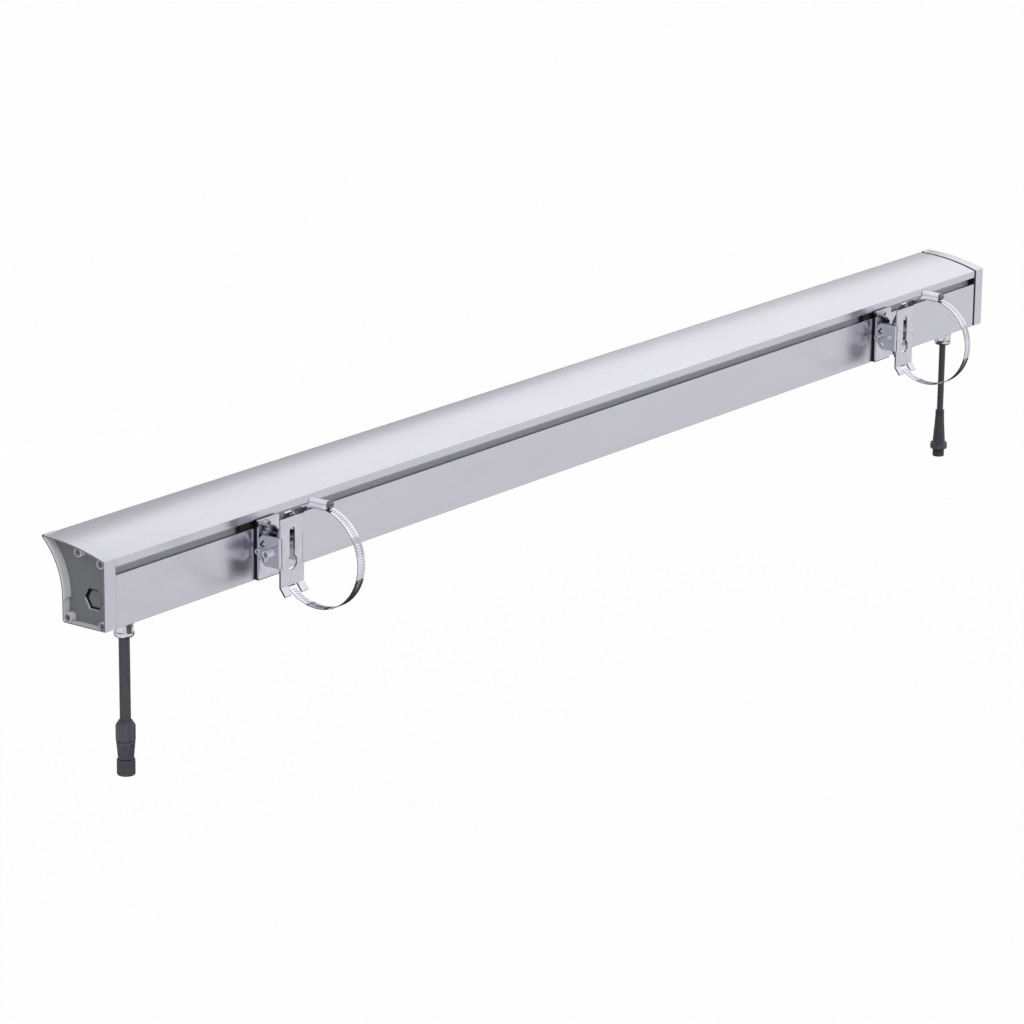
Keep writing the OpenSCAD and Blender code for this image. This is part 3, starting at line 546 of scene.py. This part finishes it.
def skin(name, rings, finish, loop=False, smooth=40.0, walled=False):
    """Skin over rings of points, (rings, sides, 3): point j of ring i joins point j of ring i + 1, and
    every ring is closed. A loop of rings closes on itself, and otherwise a fan to the ring's mean point
    closes each end. The ring of a walled skin goes out along one face of a wall and back along the other,
    so its ends close as a ladder does, with point j across from point sides - 1 - j."""
    rings = np.asarray(rings, dtype=float)
    count, sides = rings.shape[:2]
    i = np.arange(count if loop else count - 1)[:, None]
    j = np.arange(sides)[None, :]
    row, next_row, next_j = i * sides, (i + 1) % count * sides, (j + 1) % sides
    quads = np.stack([row + j, row + next_j, next_row + next_j, next_row + j], axis=-1)
    faces = quads.reshape(-1, 4).tolist()
    points = rings.reshape(-1, 3)
    if walled:
        out = np.arange(sides // 2 - 1)
        rungs = np.stack([out, out + 1, sides - 2 - out, sides - 1 - out], axis=-1)
        faces += rungs[:, ::-1].tolist() + (rungs + (count - 1) * sides).tolist()
    elif not loop:
        around, onward = np.arange(sides), (np.arange(sides) + 1) % sides
        first, last = count * sides, count * sides + 1
        points = np.vstack([points, rings[0].mean(axis=0), rings[-1].mean(axis=0)])
        faces += np.stack([onward, around, np.full(sides, first)], axis=-1).tolist()
        tail = (count - 1) * sides
        faces += np.stack([tail + around, tail + onward, np.full(sides, last)], axis=-1).tolist()
    return put_mesh(name, points, faces, finish, smooth)


def across(axis):
    """Two directions square to an axis and to each other."""
    axis = np.asarray(axis, dtype=float) / np.linalg.norm(axis)
    helper = np.array([1.0, 0.0, 0.0]) if abs(axis[0]) < 0.9 else np.array([0.0, 1.0, 0.0])
    first = np.cross(axis, helper)
    first /= np.linalg.norm(first)
    return axis, first, np.cross(axis, first)


def turned(name, profile, centre, axis, finish, sides=72, ripple=None, loop=False, smooth=40.0):
    """A turned part: profile points (radius, place along the axis) carried round it. A ripple is a function
    of the angle, the place and the radius that gives the radius at each point."""
    profile = np.asarray(profile, dtype=float)
    axis, first, second = across(axis)
    angle = np.linspace(0.0, 2 * math.pi, sides, endpoint=False)[None, :]
    radius, along = profile[:, :1], profile[:, 1:]
    radius = ripple(angle, along, radius) if ripple else radius + 0 * angle
    rings = (np.asarray(centre, dtype=float)
             + along[..., None] * axis
             + (radius * np.cos(angle))[..., None] * first
             + (radius * np.sin(angle))[..., None] * second)
    return skin(name, rings, finish, loop, smooth)


def flats(count, across_flats, turn=0.0):
    """Ripple of a nut: the radius of a polygon of that many sides, cut back to the turned radius where that
    is less."""
    step = 2 * math.pi / count

    def ripple(angle, along, radius):
        apart = np.mod(angle + turn + step / 2, step) - step / 2
        return np.minimum(across_flats / 2 / np.cos(apart) + 0 * along, radius)
    return ripple


def fluted(count, depth, low, high, sharp=2.0):
    """Ripple of a knurl: rounded flutes of a depth between two places along the axis."""

    def ripple(angle, along, radius):
        wave = np.abs(np.cos(angle * count / 2)) ** sharp
        inside = (along > low) & (along < high)
        return radius - depth * wave * inside
    return ripple


def chained(*ripples):
    """Ripple that passes the radius through several ripples in turn."""

    def ripple(angle, along, radius):
        for step in ripples:
            radius = step(angle, along, radius)
        return radius
    return ripple


def socketed(key):
    """Ripple of a hexagon socket: only the points inside the key's own circle take its six sides."""
    corner = key / math.sqrt(3) + 1e-6
    six = flats(6, key)

    def ripple(angle, along, radius):
        return np.where(radius <= corner, six(angle, along, np.minimum(radius, corner)), radius)
    return ripple


def threaded(pitch, depth, low, high):
    """Ripple of a screw thread: a wave that climbs one pitch with each turn, between two places along the
    axis."""

    def ripple(angle, along, radius):
        wave = 0.5 + 0.5 * np.cos(angle - 2 * math.pi * along / pitch)
        return radius - depth * wave ** 2 * ((along > low) & (along < high))
    return ripple


def swept(name, route, radius, finish, sides=24):
    """Round tube along a route, with rings square to it, as one closed skin."""
    route = np.asarray(route, dtype=float)
    way = np.gradient(route, axis=0)
    way /= np.linalg.norm(way, axis=1)[:, None]
    first = np.cross(way, np.array([1.0, 0.0, 0.0]))
    first /= np.linalg.norm(first, axis=1)[:, None]
    second = np.cross(way, first)
    angle = np.linspace(0.0, 2 * math.pi, sides, endpoint=False)[None, :, None]
    rings = route[:, None] + radius * (np.cos(angle) * first[:, None] + np.sin(angle) * second[:, None])
    return skin(name, rings, finish)


def stand_in(piece, *names):
    """The piece takes the place of CAD nodes: it rides on their body, and the nodes are hidden."""
    bodies = frame["record"]["behaviour"]["bodies"]
    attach(piece, next(body for body, nodes in bodies.items() if names[0] in nodes))
    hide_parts(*names)


# Studio: the camera's place in metres and its lens in millimetres

VIEW_AZIMUTH = math.radians(-53.365)
VIEW_ELEVATION = math.radians(16.099)
VIEW_ROLL = math.radians(0.597)
VIEW_PLACE = (-3.6756, -2.5409, 1.2037)
VIEW_LENS = 149.06
SQUARE = ((-1, -1), (1, -1), (1, 1), (-1, 1))


class FLOODLIGHT_OT_studio(bpy.types.Operator):
    """Sets the floor, the lamps, the dark cards and the camera"""
    bl_idname = "floodlight.studio"
    bl_label = "Studio"

    def execute(self, context):
        self.make_camera(context)
        self.make_world(context)
        self.make_floor()
        self.make_lamps()
        context.scene.view_settings.view_transform = "Standard"
        return {"FINISHED"}

    def make_camera(self, context):
        data = bpy.data.cameras.new("photo_camera")
        data.lens = VIEW_LENS
        data.sensor_width = 36.0
        data.clip_end = 60.0
        camera = bpy.data.objects.new("photo_camera", data)
        sin_a, cos_a = math.sin(VIEW_AZIMUTH), math.cos(VIEW_AZIMUTH)
        sin_e, cos_e = math.sin(VIEW_ELEVATION), math.cos(VIEW_ELEVATION)
        back = Vector((sin_a * cos_e, -cos_a * cos_e, sin_e))
        right = Vector((cos_a, sin_a, 0.0))
        up = back.cross(right)
        rolled_right = right * math.cos(VIEW_ROLL) + up * math.sin(VIEW_ROLL)
        rolled_up = up * math.cos(VIEW_ROLL) - right * math.sin(VIEW_ROLL)
        turn = Matrix((rolled_right, rolled_up, back)).transposed().to_4x4()
        camera.matrix_world = Matrix.Translation(Vector(VIEW_PLACE)) @ turn
        context.collection.objects.link(camera)
        context.scene.camera = camera

    def make_world(self, context):
        """White to the camera, to glossy and to clear pieces, and a plain grey level on the surfaces."""
        f = Finish("studio", "worlds", "ShaderNodeOutputWorld")
        background = f.node("ShaderNodeBackground", None, Strength=f.seen() * 0.15 + 0.85)
        f.tree.links.new(background.socket, f.output.inputs[0])
        context.scene.world = f.holder

    def make_floor(self):
        """Pale floor well below the hanging lamp, white to the camera."""
        f = Finish("pale_floor")
        speck = f.noise(f.place(), 3.0, 3.0, 0.5)
        f.surface(Base_Color=f.blend(speck, (0.80, 0.80, 0.81), (0.84, 0.84, 0.85)), Roughness=0.9)
        diffuse = Value(f, f.output.inputs[0].links[0].from_socket)
        glow = f.node("ShaderNodeEmission", None, (1.0, 1.0, 1.0, 1.0), 1.0)
        mixed = f.node("ShaderNodeMixShader", None, f.seen() * 0.98, diffuse, glow)
        f.tree.links.new(mixed.socket, f.output.inputs[0])
        corners = [(24.0 * a, 24.0 * b, -1.0) for a, b in SQUARE]
        put_mesh("floor", corners, [(0, 1, 2, 3)], f.holder)

    def make_lamps(self):
        """Two soft lamps, and the dark cards that the metal reflects."""
        self.lamp("key", (-2.2, -2.6, 3.2), 2.4, 2.4, 20.0)
        self.lamp("right", (3.77, 0.2, 2.45), 6.6, 2.6, 30.0)
        upward = Vector((0, 0, 1))
        self.card("back_card", (3.9, 3.0, 0.85), (3.9, 0.0, 0.85), upward, 5.2, 2.3, fade=(1.1, 1.95))
        self.card("front_card", (-0.1, -2.1, -0.68), (-0.1, 0.0, -0.68), upward, 1.3, 0.55)
        self.card("left_card", (-2.2, 1.9, -0.5), (-0.7, 0.05, -0.5), upward, 2.0, 0.9)
        self.card("low_card", (0.8, 0.55, -0.62), (0.8, 0.55, 0.0), Vector((0, 1, 0)), 3.4, 2.0)

    def card(self, name, place, target, up, width, height, fade=None):
        """Dark card facing a target, with its height along up. Only reflections show it. A fade is the pair
        of heights between which it turns from dark to white, as 1 - (1 - t) squared. Both heights fall away
        from a middle, by a sag times the distance squared."""
        f = Finish(name)
        spot = f.place()
        base = f.blend(f.noise(spot, 4.0), (0.05, 0.05, 0.055), (0.07, 0.07, 0.075))
        if fade:
            x, _, z = f.axes(spot)
            middle, sag = 4.1, 0.08
            aside = x - middle
            rest = 1.0 - f.between(z + aside * aside * sag, *fade)
            base = f.blend(1.0 - rest * rest, base, (0.97, 0.97, 0.98))
        f.surface(Base_Color=base, Roughness=0.9)
        way = (Vector(target) - Vector(place)).normalized()
        side = way.cross(up).normalized() * width / 2
        rise = up * height / 2
        corners = [Vector(place) + a * side + b * rise for a, b in SQUARE]
        card = put_mesh(name, [tuple(c) for c in corners], [(0, 1, 2, 3)], f.holder)
        card.visible_camera = False

    def lamp(self, name, place, width, height, power):
        """Soft rectangular lamp that faces the middle of the floodlight."""
        data = bpy.data.lights.new(name, "AREA")
        data.shape = "RECTANGLE"
        data.size = width
        data.size_y = height
        data.energy = power
        lamp = bpy.data.objects.new(name, data)
        way = Vector(place) - Vector((0.0, 0.05, 0.0))
        turn = way.to_track_quat("Z", "Y").to_matrix().to_4x4()
        lamp.matrix_world = Matrix.Translation(Vector(place)) @ turn
        bpy.context.collection.objects.link(lamp)


# Cables, glands and connectors

# Heights of points down each cable, and the pieces at its lower end
DROPS = {
    "left": (-0.0548, -0.070, -0.095, -0.120, -0.1393),
    "right": (-0.0548, -0.070, -0.090, -0.110, -0.1383),
}


def cable_spot(side):
    """Place of a cable's straight line, as X and Y."""
    return SIDES[side] * sizes().cable_inset, sizes().cable_depth


class FLOODLIGHT_OT_cables(bpy.types.Operator):
    """Hangs both cables from their glands down to their connectors"""
    bl_idname = "floodlight.cables"
    bl_label = "Cables"

    def execute(self, context):
        finish = sheath_finish("cable_sheath", 0.95, 0.3)
        for side in SIDES:
            x, y = cable_spot(side)
            drops = np.array(DROPS[side])
            quarters = np.linspace(0, len(drops) - 1, 4 * len(drops) - 3)
            heights = np.interp(quarters, np.arange(len(drops)), drops)
            route = np.stack([np.full_like(heights, x), np.full_like(heights, y), heights], axis=-1)
            wide_by = getattr(sizes(), f"cable_{side}")
            cable = swept(f"cable_{side}_sheath", route, wide_by / 2, finish)
            stand_in(cable, f"cable_{side}")
        return {"FINISHED"}


def in_metres(profile):
    """A profile's radii and places, from millimetres."""
    return [(radius * MM, along * MM) for radius, along in profile]


def on_line(name, side, drops, finish, ripple=None, loop=False, sides=96):
    """A turned part hung on the line of a cable, in place of the CAD node of the same name. Its profile is
    pairs of radius and drop below the lamp's bottom, in millimetres."""
    profile = in_metres((radius, -drop) for radius, drop in drops)
    top = (*cable_spot(side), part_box("housing")[0][2])
    stand_in(turned(f"{name}_turned", profile, top, (0.0, 0.0, 1.0), finish, sides, ripple, loop), name)


def steps(start, end, count):
    """Evenly spaced values from the start to the end."""
    return np.linspace(start, end, count).tolist()


class FLOODLIGHT_OT_glands(bpy.types.Operator):
    """Turns the bodies and the union nuts of both cable glands"""
    bl_idname = "floodlight.glands"
    bl_label = "Cable glands"

    def execute(self, context):
        finish = nickel_finish()
        across_flats = sizes().hex_flats
        corner = across_flats / math.sqrt(3) / MM
        hexagon = flats(6, across_flats, math.radians(12))
        for side, bore, mouth in (("left", 4.2, 6.7), ("right", 3.6, 5.1)):
            on_line(f"gland_body_{side}", side,
                    [(bore, -9), (5.6, -9), (6.0, -8.6), (6.0, 0), (corner - 1.1, 0.01), (corner - 0.5, 0.2),
                     (corner, 0.8), (corner, 6.2), (corner - 0.5, 6.8), (corner - 1.1, 7.0), (bore, 7.0)],
                    finish, hexagon, loop=True)
            curve = [(mouth + 1.0 + (corner - 0.25 - mouth - 1.0) * math.cos(a), 17.6 + 3.2 * math.sin(a))
                     for a in steps(0.0, math.pi / 2, 9)]
            on_line(f"gland_nut_{side}", side,
                    [(mouth, 7.1), (corner - 1.1, 7.1), (corner - 0.5, 7.3), (corner, 7.9), (corner, 14.9),
                     (corner, 15.4), (corner - 0.1, 15.9), (corner - 0.25, 16.4)]
                    + curve + [(mouth + 0.5, 21.0), (mouth, 20.5)],
                    finish, self.collared(hexagon), loop=True)
        return {"FINISHED"}

    def collared(self, hexagon):
        """Six flats above a round collar: the flats run out in a short slope."""

        def ripple(angle, along, radius):
            share = np.clip((-along / MM - 14.9) / 0.9, 0.0, 1.0)
            return hexagon(angle, along, radius) * (1 - share) + radius * share
        return ripple


class FLOODLIGHT_OT_connectors(bpy.types.Operator):
    """Turns the round connectors at the ends of both cables"""
    bl_idname = "floodlight.connectors"
    bl_label = "Connectors"

    def execute(self, context):
        finish = moulded_finish()
        octagon = flats(8, 2 * 9.42 * MM, math.radians(22.5))
        grooves = fluted(8, 0.55 * MM, -0.1262, -0.1120, 40.0)
        on_line("backnut_left", "left",
                [(5.7, 106.0), (6.4, 106.1), (6.9, 106.6), (8.9, 109.8), (9.4, 110.3), (9.6, 110.9),
                 (10.2, 111.9), (10.2, 112.1), (10.2, 118.0), (10.2, 124.6), (10.2, 125.4), (9.9, 126.2),
                 (9.3, 126.8), (8.6, 127.0)],
                finish, chained(octagon, grooves), sides=144)
        on_line("plug_body_left", "left",
                [(8.8, 127.1), (9.4, 127.4), (9.5, 128.0), (9.3, 130.6), (9.2, 131.4)]
                + [(9.2 - 1.18 * s, 131.4 + 13.2 * s) for s in steps(0.05, 1.0, 10)]
                + [(7.9, 145.3), (7.6, 145.8), (6.85, 146.0), (6.85, 159.0), (6.5, 159.4), (6.1, 159.4),
                   (5.9, 159.2), (5.9, 150.4)],
                finish, self.long_flats)
        knurl = fluted(24, 0.6 * MM, -0.16095, -0.1479, 1.0)
        on_line("coupling_ring_left", "left",
                [(6.9, 146.2), (8.7, 146.2), (9.1, 146.5), (9.2, 147.0), (9.2, 147.8), (9.2, 148.3),
                 (9.2, 154.0), (9.2, 160.6), (9.2, 161.1), (9.1, 161.5), (8.5, 162.3), (8.2, 162.4),
                 (7.2, 162.4), (6.9, 162.1)],
                finish, knurl, loop=True, sides=192)
        ribbed = [(5.1, 105.0), (5.4, 105.2), (5.5, 105.6), (5.5, 107.2), (5.3, 107.4), (4.75, 107.5),
                  (4.75, 108.2), (5.3, 108.3), (5.5, 108.5), (5.5, 110.2), (5.3, 110.4), (4.75, 110.5),
                  (4.75, 111.2), (5.3, 111.3), (5.5, 111.5), (5.5, 113.2)]
        taper = [(5.5 + 2.3 * s ** 1.1, 113.2 + 33.0 * s) for s in steps(0.1, 1.0, 12)]
        flange = [(8.1, 146.5), (9.6, 146.6), (10.2, 146.9), (10.4, 147.4), (10.4, 147.8), (10.4, 151.0),
                  (10.4, 153.4), (10.4, 153.8), (10.2, 154.2), (9.7, 154.5)]
        on_line("plug_body_right", "right", ribbed + taper + flange, finish,
                fluted(18, 0.75 * MM, -0.1537, -0.1475, 3.0), sides=180)
        rings = [(7.2 - 0.22 * (k % 2), 155.6 + 0.45 * k) for k in range(12)]
        tip = [(7.2, 161.4), (7.2, 163.6), (6.8, 164.3), (6.4, 164.4), (5.7, 164.4), (5.4, 164.1),
               (5.4, 157.4)]
        on_line("plug_nose_right", "right", [(6.9, 154.5), (7.2, 154.8)] + rings + tip, finish)
        return {"FINISHED"}

    def long_flats(self, angle, along, radius):
        """Six grip flats on the moulded body, between two drops and 8 mm across: each is a little steeper
        than the body's own taper."""
        step = math.pi / 3
        apart = np.mod(angle + step / 2, step) - step / 2
        flat = (7.3 * MM + (along + 0.1445) * math.sin(math.radians(4.8))) / np.cos(apart)
        inside = (along < -0.1312) & (along > -0.1447) & (np.abs(radius * np.sin(apart)) < 4.1 * MM)
        return np.where(inside, np.minimum(radius, flat), radius)


def socket_head(name, centre, axis, finish, head, shank, key, knurls=0):
    """A socket screw in place of the CAD node of the same name. Head and shank are pairs of radius and
    length in millimetres, from the head's seat outward along the axis and inward against it."""
    (head_r, head_h), (shank_r, shank_h) = head, shank
    corner = key / math.sqrt(3)
    profile = [(shank_r - 0.4, -shank_h), (shank_r, -shank_h + 0.4), (shank_r, 0.0), (head_r - 0.3, 0.0),
               (head_r, 0.3), (head_r, 0.6), (head_r, head_h - 0.9), (head_r, head_h - 0.6),
               (head_r - 0.12, head_h - 0.2), (head_r - 0.5, head_h), (corner + 0.35, head_h),
               (corner, head_h - 0.3), (corner, 0.4 * head_h)]
    ripple, sides = socketed(key * MM), 72
    if knurls:
        ripple = chained(ripple, fluted(knurls, 0.14 * MM, 0.5 * MM, (head_h - 0.7) * MM, 1.0))
        sides = 4 * knurls
    stand_in(turned(f"{name}_turned", in_metres(profile), centre, axis, finish, sides, ripple), name)


class FLOODLIGHT_OT_screws(bpy.types.Operator):
    """Turns the bracket screws, the pivot bolts and the worm screws"""
    bl_idname = "floodlight.screws"
    bl_label = "Screws"

    def execute(self, context):
        # The pins take a still paler, less metallic copy of the screw steel: painted light.
        finish, pin_finish = screw_finish(), screw_finish("bright_pin", 1.6, 0.35)
        slot_finish = steel_finish("slot_screw")
        washer, run_gap, arc_radius, head_high = 1.4 * MM, 0.05 * MM, 13.6 * MM, 5.0
        for side, sign in SIDES.items():
            hinge = joint(f"tilt_{side}")["pos_m"]
            low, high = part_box(f"clamp_plate_{side}")
            seat = (low[0] - washer if sign < 0 else high[0] + washer, hinge[1], hinge[2])
            socket_head(f"pivot_bolt_{side}", seat, (float(sign), 0.0, 0.0), finish, (4.75, 9.6),
                        (3.0, 11.25), 5.0, sizes().knurls)
            seat = (low[0] - run_gap, hinge[1] + arc_radius, hinge[2])
            socket_head(f"lock_screw_{side}", seat, (-1.0, 0.0, 0.0), finish, (2.9, 7.45), (2.05, 4.0), 3.0)
            low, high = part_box(f"slot_screw_{side}")
            seat = ((low[0] + high[0]) / 2, low[1] + head_high * MM, (low[2] + high[2]) / 2)
            socket_head(f"slot_screw_{side}", seat, (0.0, -1.0, 0.0), slot_finish, (4.25, head_high),
                        (2.45, 12.5), 4.0, sizes().knurls)
            self.pin(side, sign, hinge, pin_finish)
            self.worm(side)
        return {"FINISHED"}

    def pin(self, side, sign, hinge, finish):
        """Pivot pin on the side away from the bolt: a collar inside the base plate's ear, the journal, and
        a rounded end with a centre drilled in it, flush with the outer ear."""
        low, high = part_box(f"pivot_pin_{side}")
        end = (high[0] - low[0]) / MM
        inner = low[0] if sign < 0 else high[0]
        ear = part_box(f"base_plate_{side}")[1 if sign < 0 else 0][0]
        sheet, run_gap = 2.0, 0.05
        collar = abs(ear - inner) / MM - sheet - run_gap
        profile = [(3.9, 0.0), (4.6, 0.5), (4.6, collar - 0.4), (4.2, collar), (3.0, collar + 0.01),
                   (3.0, end - 0.9), (2.8, end - 0.35), (2.4, end - 0.05), (1.7, end), (1.3, end - 0.35),
                   (1.2, end - 1.7)]
        piece = turned(f"pivot_pin_{side}_turned", in_metres(profile), (inner, hinge[1], hinge[2]),
                       (float(-sign), 0.0, 0.0), finish, 48)
        stand_in(piece, f"pivot_pin_{side}")

    def worm(self, side):
        """Worm screw along Y: a thread, a bearing stub and a hexagon head with a driving slot sunk in its
        face."""
        centre = joint(f"worm_turn_{side}")["pos_m"]
        across_flats, slot_half, slot_depth = 7.0, 0.5 * MM, 1.4 * MM
        hexagon = flats(6, across_flats * MM)
        corner = across_flats / math.sqrt(3)
        thread = [(2.9, -10.0 + 0.15 * k) for k in range(122)]
        profile = ([(1.4, 14.0), (1.8, 13.6), (1.8, 8.7), (2.5, 8.6)] + thread[::-1]
                   + [(2.5, -10.8), (2.0, -11.0), (2.0, -11.2), (corner - 0.5, -11.2), (corner, -11.6),
                      (corner, -14.6), (corner - 0.5, -15.0), (3.1, -15.0)]
                   + [(r, -15.0) for r in steps(3.0, 0.2, 15)])

        def ripple(angle, along, radius):
            head = along < -11.1 * MM
            turned_in = threaded(sizes().thread_pitch, 0.75 * MM, -9.9 * MM, 8.1 * MM)(angle, along, radius)
            return np.where(head & (radius > 3.2 * MM), hexagon(angle, along, radius), turned_in)
        # The worm screw's steel is darkened to 0.35 of the screw tone: painted shade.
        piece = turned(f"worm_screw_{side}_turned", in_metres(profile), centre, (0.0, 1.0, 0.0),
                       screw_finish("worm_screw", 0.35, 1.0), 96, ripple)
        vertices = piece.data.vertices
        points = np.empty((len(vertices), 3))
        vertices.foreach_get("co", points.ravel())
        slot = (points[:, 1] < -14.9 * MM) & (np.abs(points[:, 2] - centre[2]) < slot_half)
        points[slot, 1] += slot_depth
        vertices.foreach_set("co", points.ravel())
        stand_in(piece, f"worm_screw_{side}")


class FLOODLIGHT_OT_pads(bpy.types.Operator):
    """Cuts the rubber pads between the base plates and the lamp's back"""
    bl_idname = "floodlight.pads"
    bl_label = "Pads"

    def execute(self, context):
        for side in SIDES:
            self.pad(side, rubber_finish(f"black_rubber_{side}"))
        return {"FINISHED"}

    def pad(self, side, finish):
        """Rectangle with a screw hole, carried round the hole: at each angle the outer edge is where that
        direction meets the nearest side, R = min(dx / |sin|, dz / |cos|), and the edges are eased."""
        low, high = (np.array(corner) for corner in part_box(f"slot_pad_{side}"))
        below_plate, eased = 3.2 * MM, 0.25 * MM
        high[2] -= below_plate
        screw_low, screw_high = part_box(f"slot_screw_{side}")
        centre = np.array([(screw_low[0] + screw_high[0]) / 2, low[1], (screw_low[2] + screw_high[2]) / 2])
        thick = high[1] - low[1]

        def ripple(angle, along, radius):
            sin, cos = np.sin(angle), np.cos(angle)
            dx = np.where(sin > 0, centre[0] - low[0], high[0] - centre[0])
            dz = np.where(cos > 0, centre[2] - low[2], high[2] - centre[2])
            edge = np.minimum(dx / np.maximum(np.abs(sin), 1e-9), dz / np.maximum(np.abs(cos), 1e-9))
            inset = eased * (np.abs(along - thick / 2) > thick / 2 - 0.1 * MM)
            return np.where(radius > 5 * MM, edge - inset, radius)
        profile = [(2.8, eased), (3.0, 0.0), (90.0, 0.0), (90.0, eased), (90.0, thick - eased), (90.0, thick),
                   (3.0, thick), (2.8, thick - eased)]
        profile = [(radius * MM, along) for radius, along in profile]
        piece = turned(f"slot_pad_{side}_cut", profile, centre, (0.0, 1.0, 0.0), finish, 240, ripple,
                       loop=True)
        stand_in(piece, f"slot_pad_{side}")


class FLOODLIGHT_OT_worm_cases(bpy.types.Operator):
    """Folds the sheet-metal cases of both worm drives"""
    bl_idname = "floodlight.worm_cases"
    bl_label = "Worm cases"

    def execute(self, context):
        for side in SIDES:
            self.case(side, case_finish(side))
        return {"FINISHED"}

    def case(self, side, finish):
        """One folded sheet: its section, in x and in height above the worm's axis, goes from the lip under
        the band round the flange, up, over the worm and down again, outside and then inside, and is carried
        along the worm. The lips and flanges follow the band's circle: each point there drops by R -
        sqrt(R^2 - y^2)."""
        centre = np.array(joint(f"worm_turn_{side}")["pos_m"])
        bend = np.radians(np.linspace(203.0, 90.0, 13))
        outer = [(-2.0, -4.9), (-6.7, -4.9), (-6.98, -4.6), (-6.98, -2.3), (-6.85, -1.9), (-6.5, -1.72),
                 (-4.3, -1.72)]
        outer += [(3.99 * math.cos(a), 3.99 * math.sin(a)) for a in bend]
        bend = np.radians(np.linspace(228.0, 90.0, 13))
        inner = [(-2.0, -4.06), (-5.9, -4.06), (-5.96, -4.0), (-5.96, -3.4), (-5.9, -3.24), (-5.7, -3.24),
                 (-2.0, -3.24)]
        inner += [(2.97 * math.cos(a), 2.97 * math.sin(a)) for a in bend]
        outer = np.array(outer + [(-x, z) for x, z in outer[-2::-1]])
        inner = np.array(inner + [(-x, z) for x, z in inner[-2::-1]])
        section = np.concatenate([outer, inner[::-1]])
        onward = [2.0, 5.0, 8.0, 10.0, 10.6, 10.9, 11.0]
        along = np.array([-place for place in onward[::-1]] + [0.0] + onward)
        x, high = section[None, :, 0], section[None, :, 1]
        mouth = np.clip(np.abs(along) - 10.0, 0.0, 1.0)[:, None]
        flare = np.where(high > -1.7, 0.12 * mouth ** 2, 0.0)
        size = 1.0 - flare * np.hypot(x, high) / 16.0
        radius = centre[2] / MM + high
        sag = np.where(high < -1.7, radius - np.sqrt(radius ** 2 - along[:, None] ** 2), 0.0)
        rings = np.stack([x * size + centre[0] / MM, along[:, None] + 0 * x + centre[1] / MM,
                          high * size - sag + centre[2] / MM], axis=-1) * MM
        stand_in(skin(f"worm_case_{side}_folded", rings, finish, walled=True), f"worm_case_{side}")


class FLOODLIGHT_OT_finishes(bpy.types.Operator):
    """Gives every carried-over solid its finish"""
    bl_idname = "floodlight.finishes"
    bl_label = "Finishes"

    def execute(self, context):
        for finish, *names in (
                (profile_finish(), "housing"),
                (cap_finish(), "end_cap_left", "end_cap_right", "vent_plugs"),
                (steel_finish(), "inner_screws", "pivot_nut_left", "pivot_nut_right"),
                (screw_finish("dull_screw", 0.62, 0.4), "cap_screws"),
                (plate_finish("left"), "clamp_plate_left"),
                (plate_finish("right"), "clamp_plate_right"),
                (base_plate_finish(), "base_plate_left", "base_plate_right"),
                (band_finish(), "band_left", "band_right"),
                (nickel_finish(), "gland_locknuts"),
                (sheath_finish("contact_insert", 0.8, 0.38), "contact_insert_left"),
                (oxide_finish(), "slot_nut_left", "slot_nut_right"),
                (rubber_finish(), "cap_seal_left", "cap_seal_right", "vent_seals", "lens_seals",
                 "gland_seals"),
                (clear_finish(), "cover_lens", "optic_strip"),
                (white_finish(), "led_boards", "terminal_blocks"),
                (vent_finish(), "vent_rings"),
                (phosphor_finish(), "led_chips"),
                (contact_finish(), "contacts_left", "contacts_right"),
                (bright_finish(), "reflector", "driver_tray"),
                (sheath_finish("driver_case", 0.7, 0.4), "driver", "inner_wires")):
            for name in names:
                mesh = NODES[name].data
                mesh.materials.clear()
                mesh.materials.append(finish)
        return {"FINISHED"}


class FLOODLIGHT_PT_panel(bpy.types.Panel):
    bl_label = "Floodlight"
    bl_idname = "FLOODLIGHT_PT_panel"
    bl_space_type = "VIEW_3D"
    bl_region_type = "UI"
    bl_category = "Floodlight"

    def draw(self, context):
        for group in (sizes(), colours()):
            for key in group.__annotations__:
                self.layout.prop(group, key)
        for step in STEPS:
            self.layout.operator(step.bl_idname)


STEPS = (FLOODLIGHT_OT_studio, FLOODLIGHT_OT_glands, FLOODLIGHT_OT_connectors, FLOODLIGHT_OT_cables,
         FLOODLIGHT_OT_pads, FLOODLIGHT_OT_screws, FLOODLIGHT_OT_worm_cases, FLOODLIGHT_OT_finishes)
CLASSES = (FloodlightSizes, FloodlightColours, *STEPS, FLOODLIGHT_PT_panel)


def register():
    for cls in CLASSES:
        bpy.utils.register_class(cls)
    bpy.types.Scene.floodlight_sizes = PointerProperty(type=FloodlightSizes)
    bpy.types.Scene.floodlight_colours = PointerProperty(type=FloodlightColours)


def unregister():
    del bpy.types.Scene.floodlight_colours
    del bpy.types.Scene.floodlight_sizes
    for cls in reversed(CLASSES):
        bpy.utils.unregister_class(cls)


def main():
    register()
    for step in STEPS:
        group, action = step.bl_idname.split(".")
        getattr(getattr(bpy.ops, group), action)()


if __name__ == "__main__":
    main()
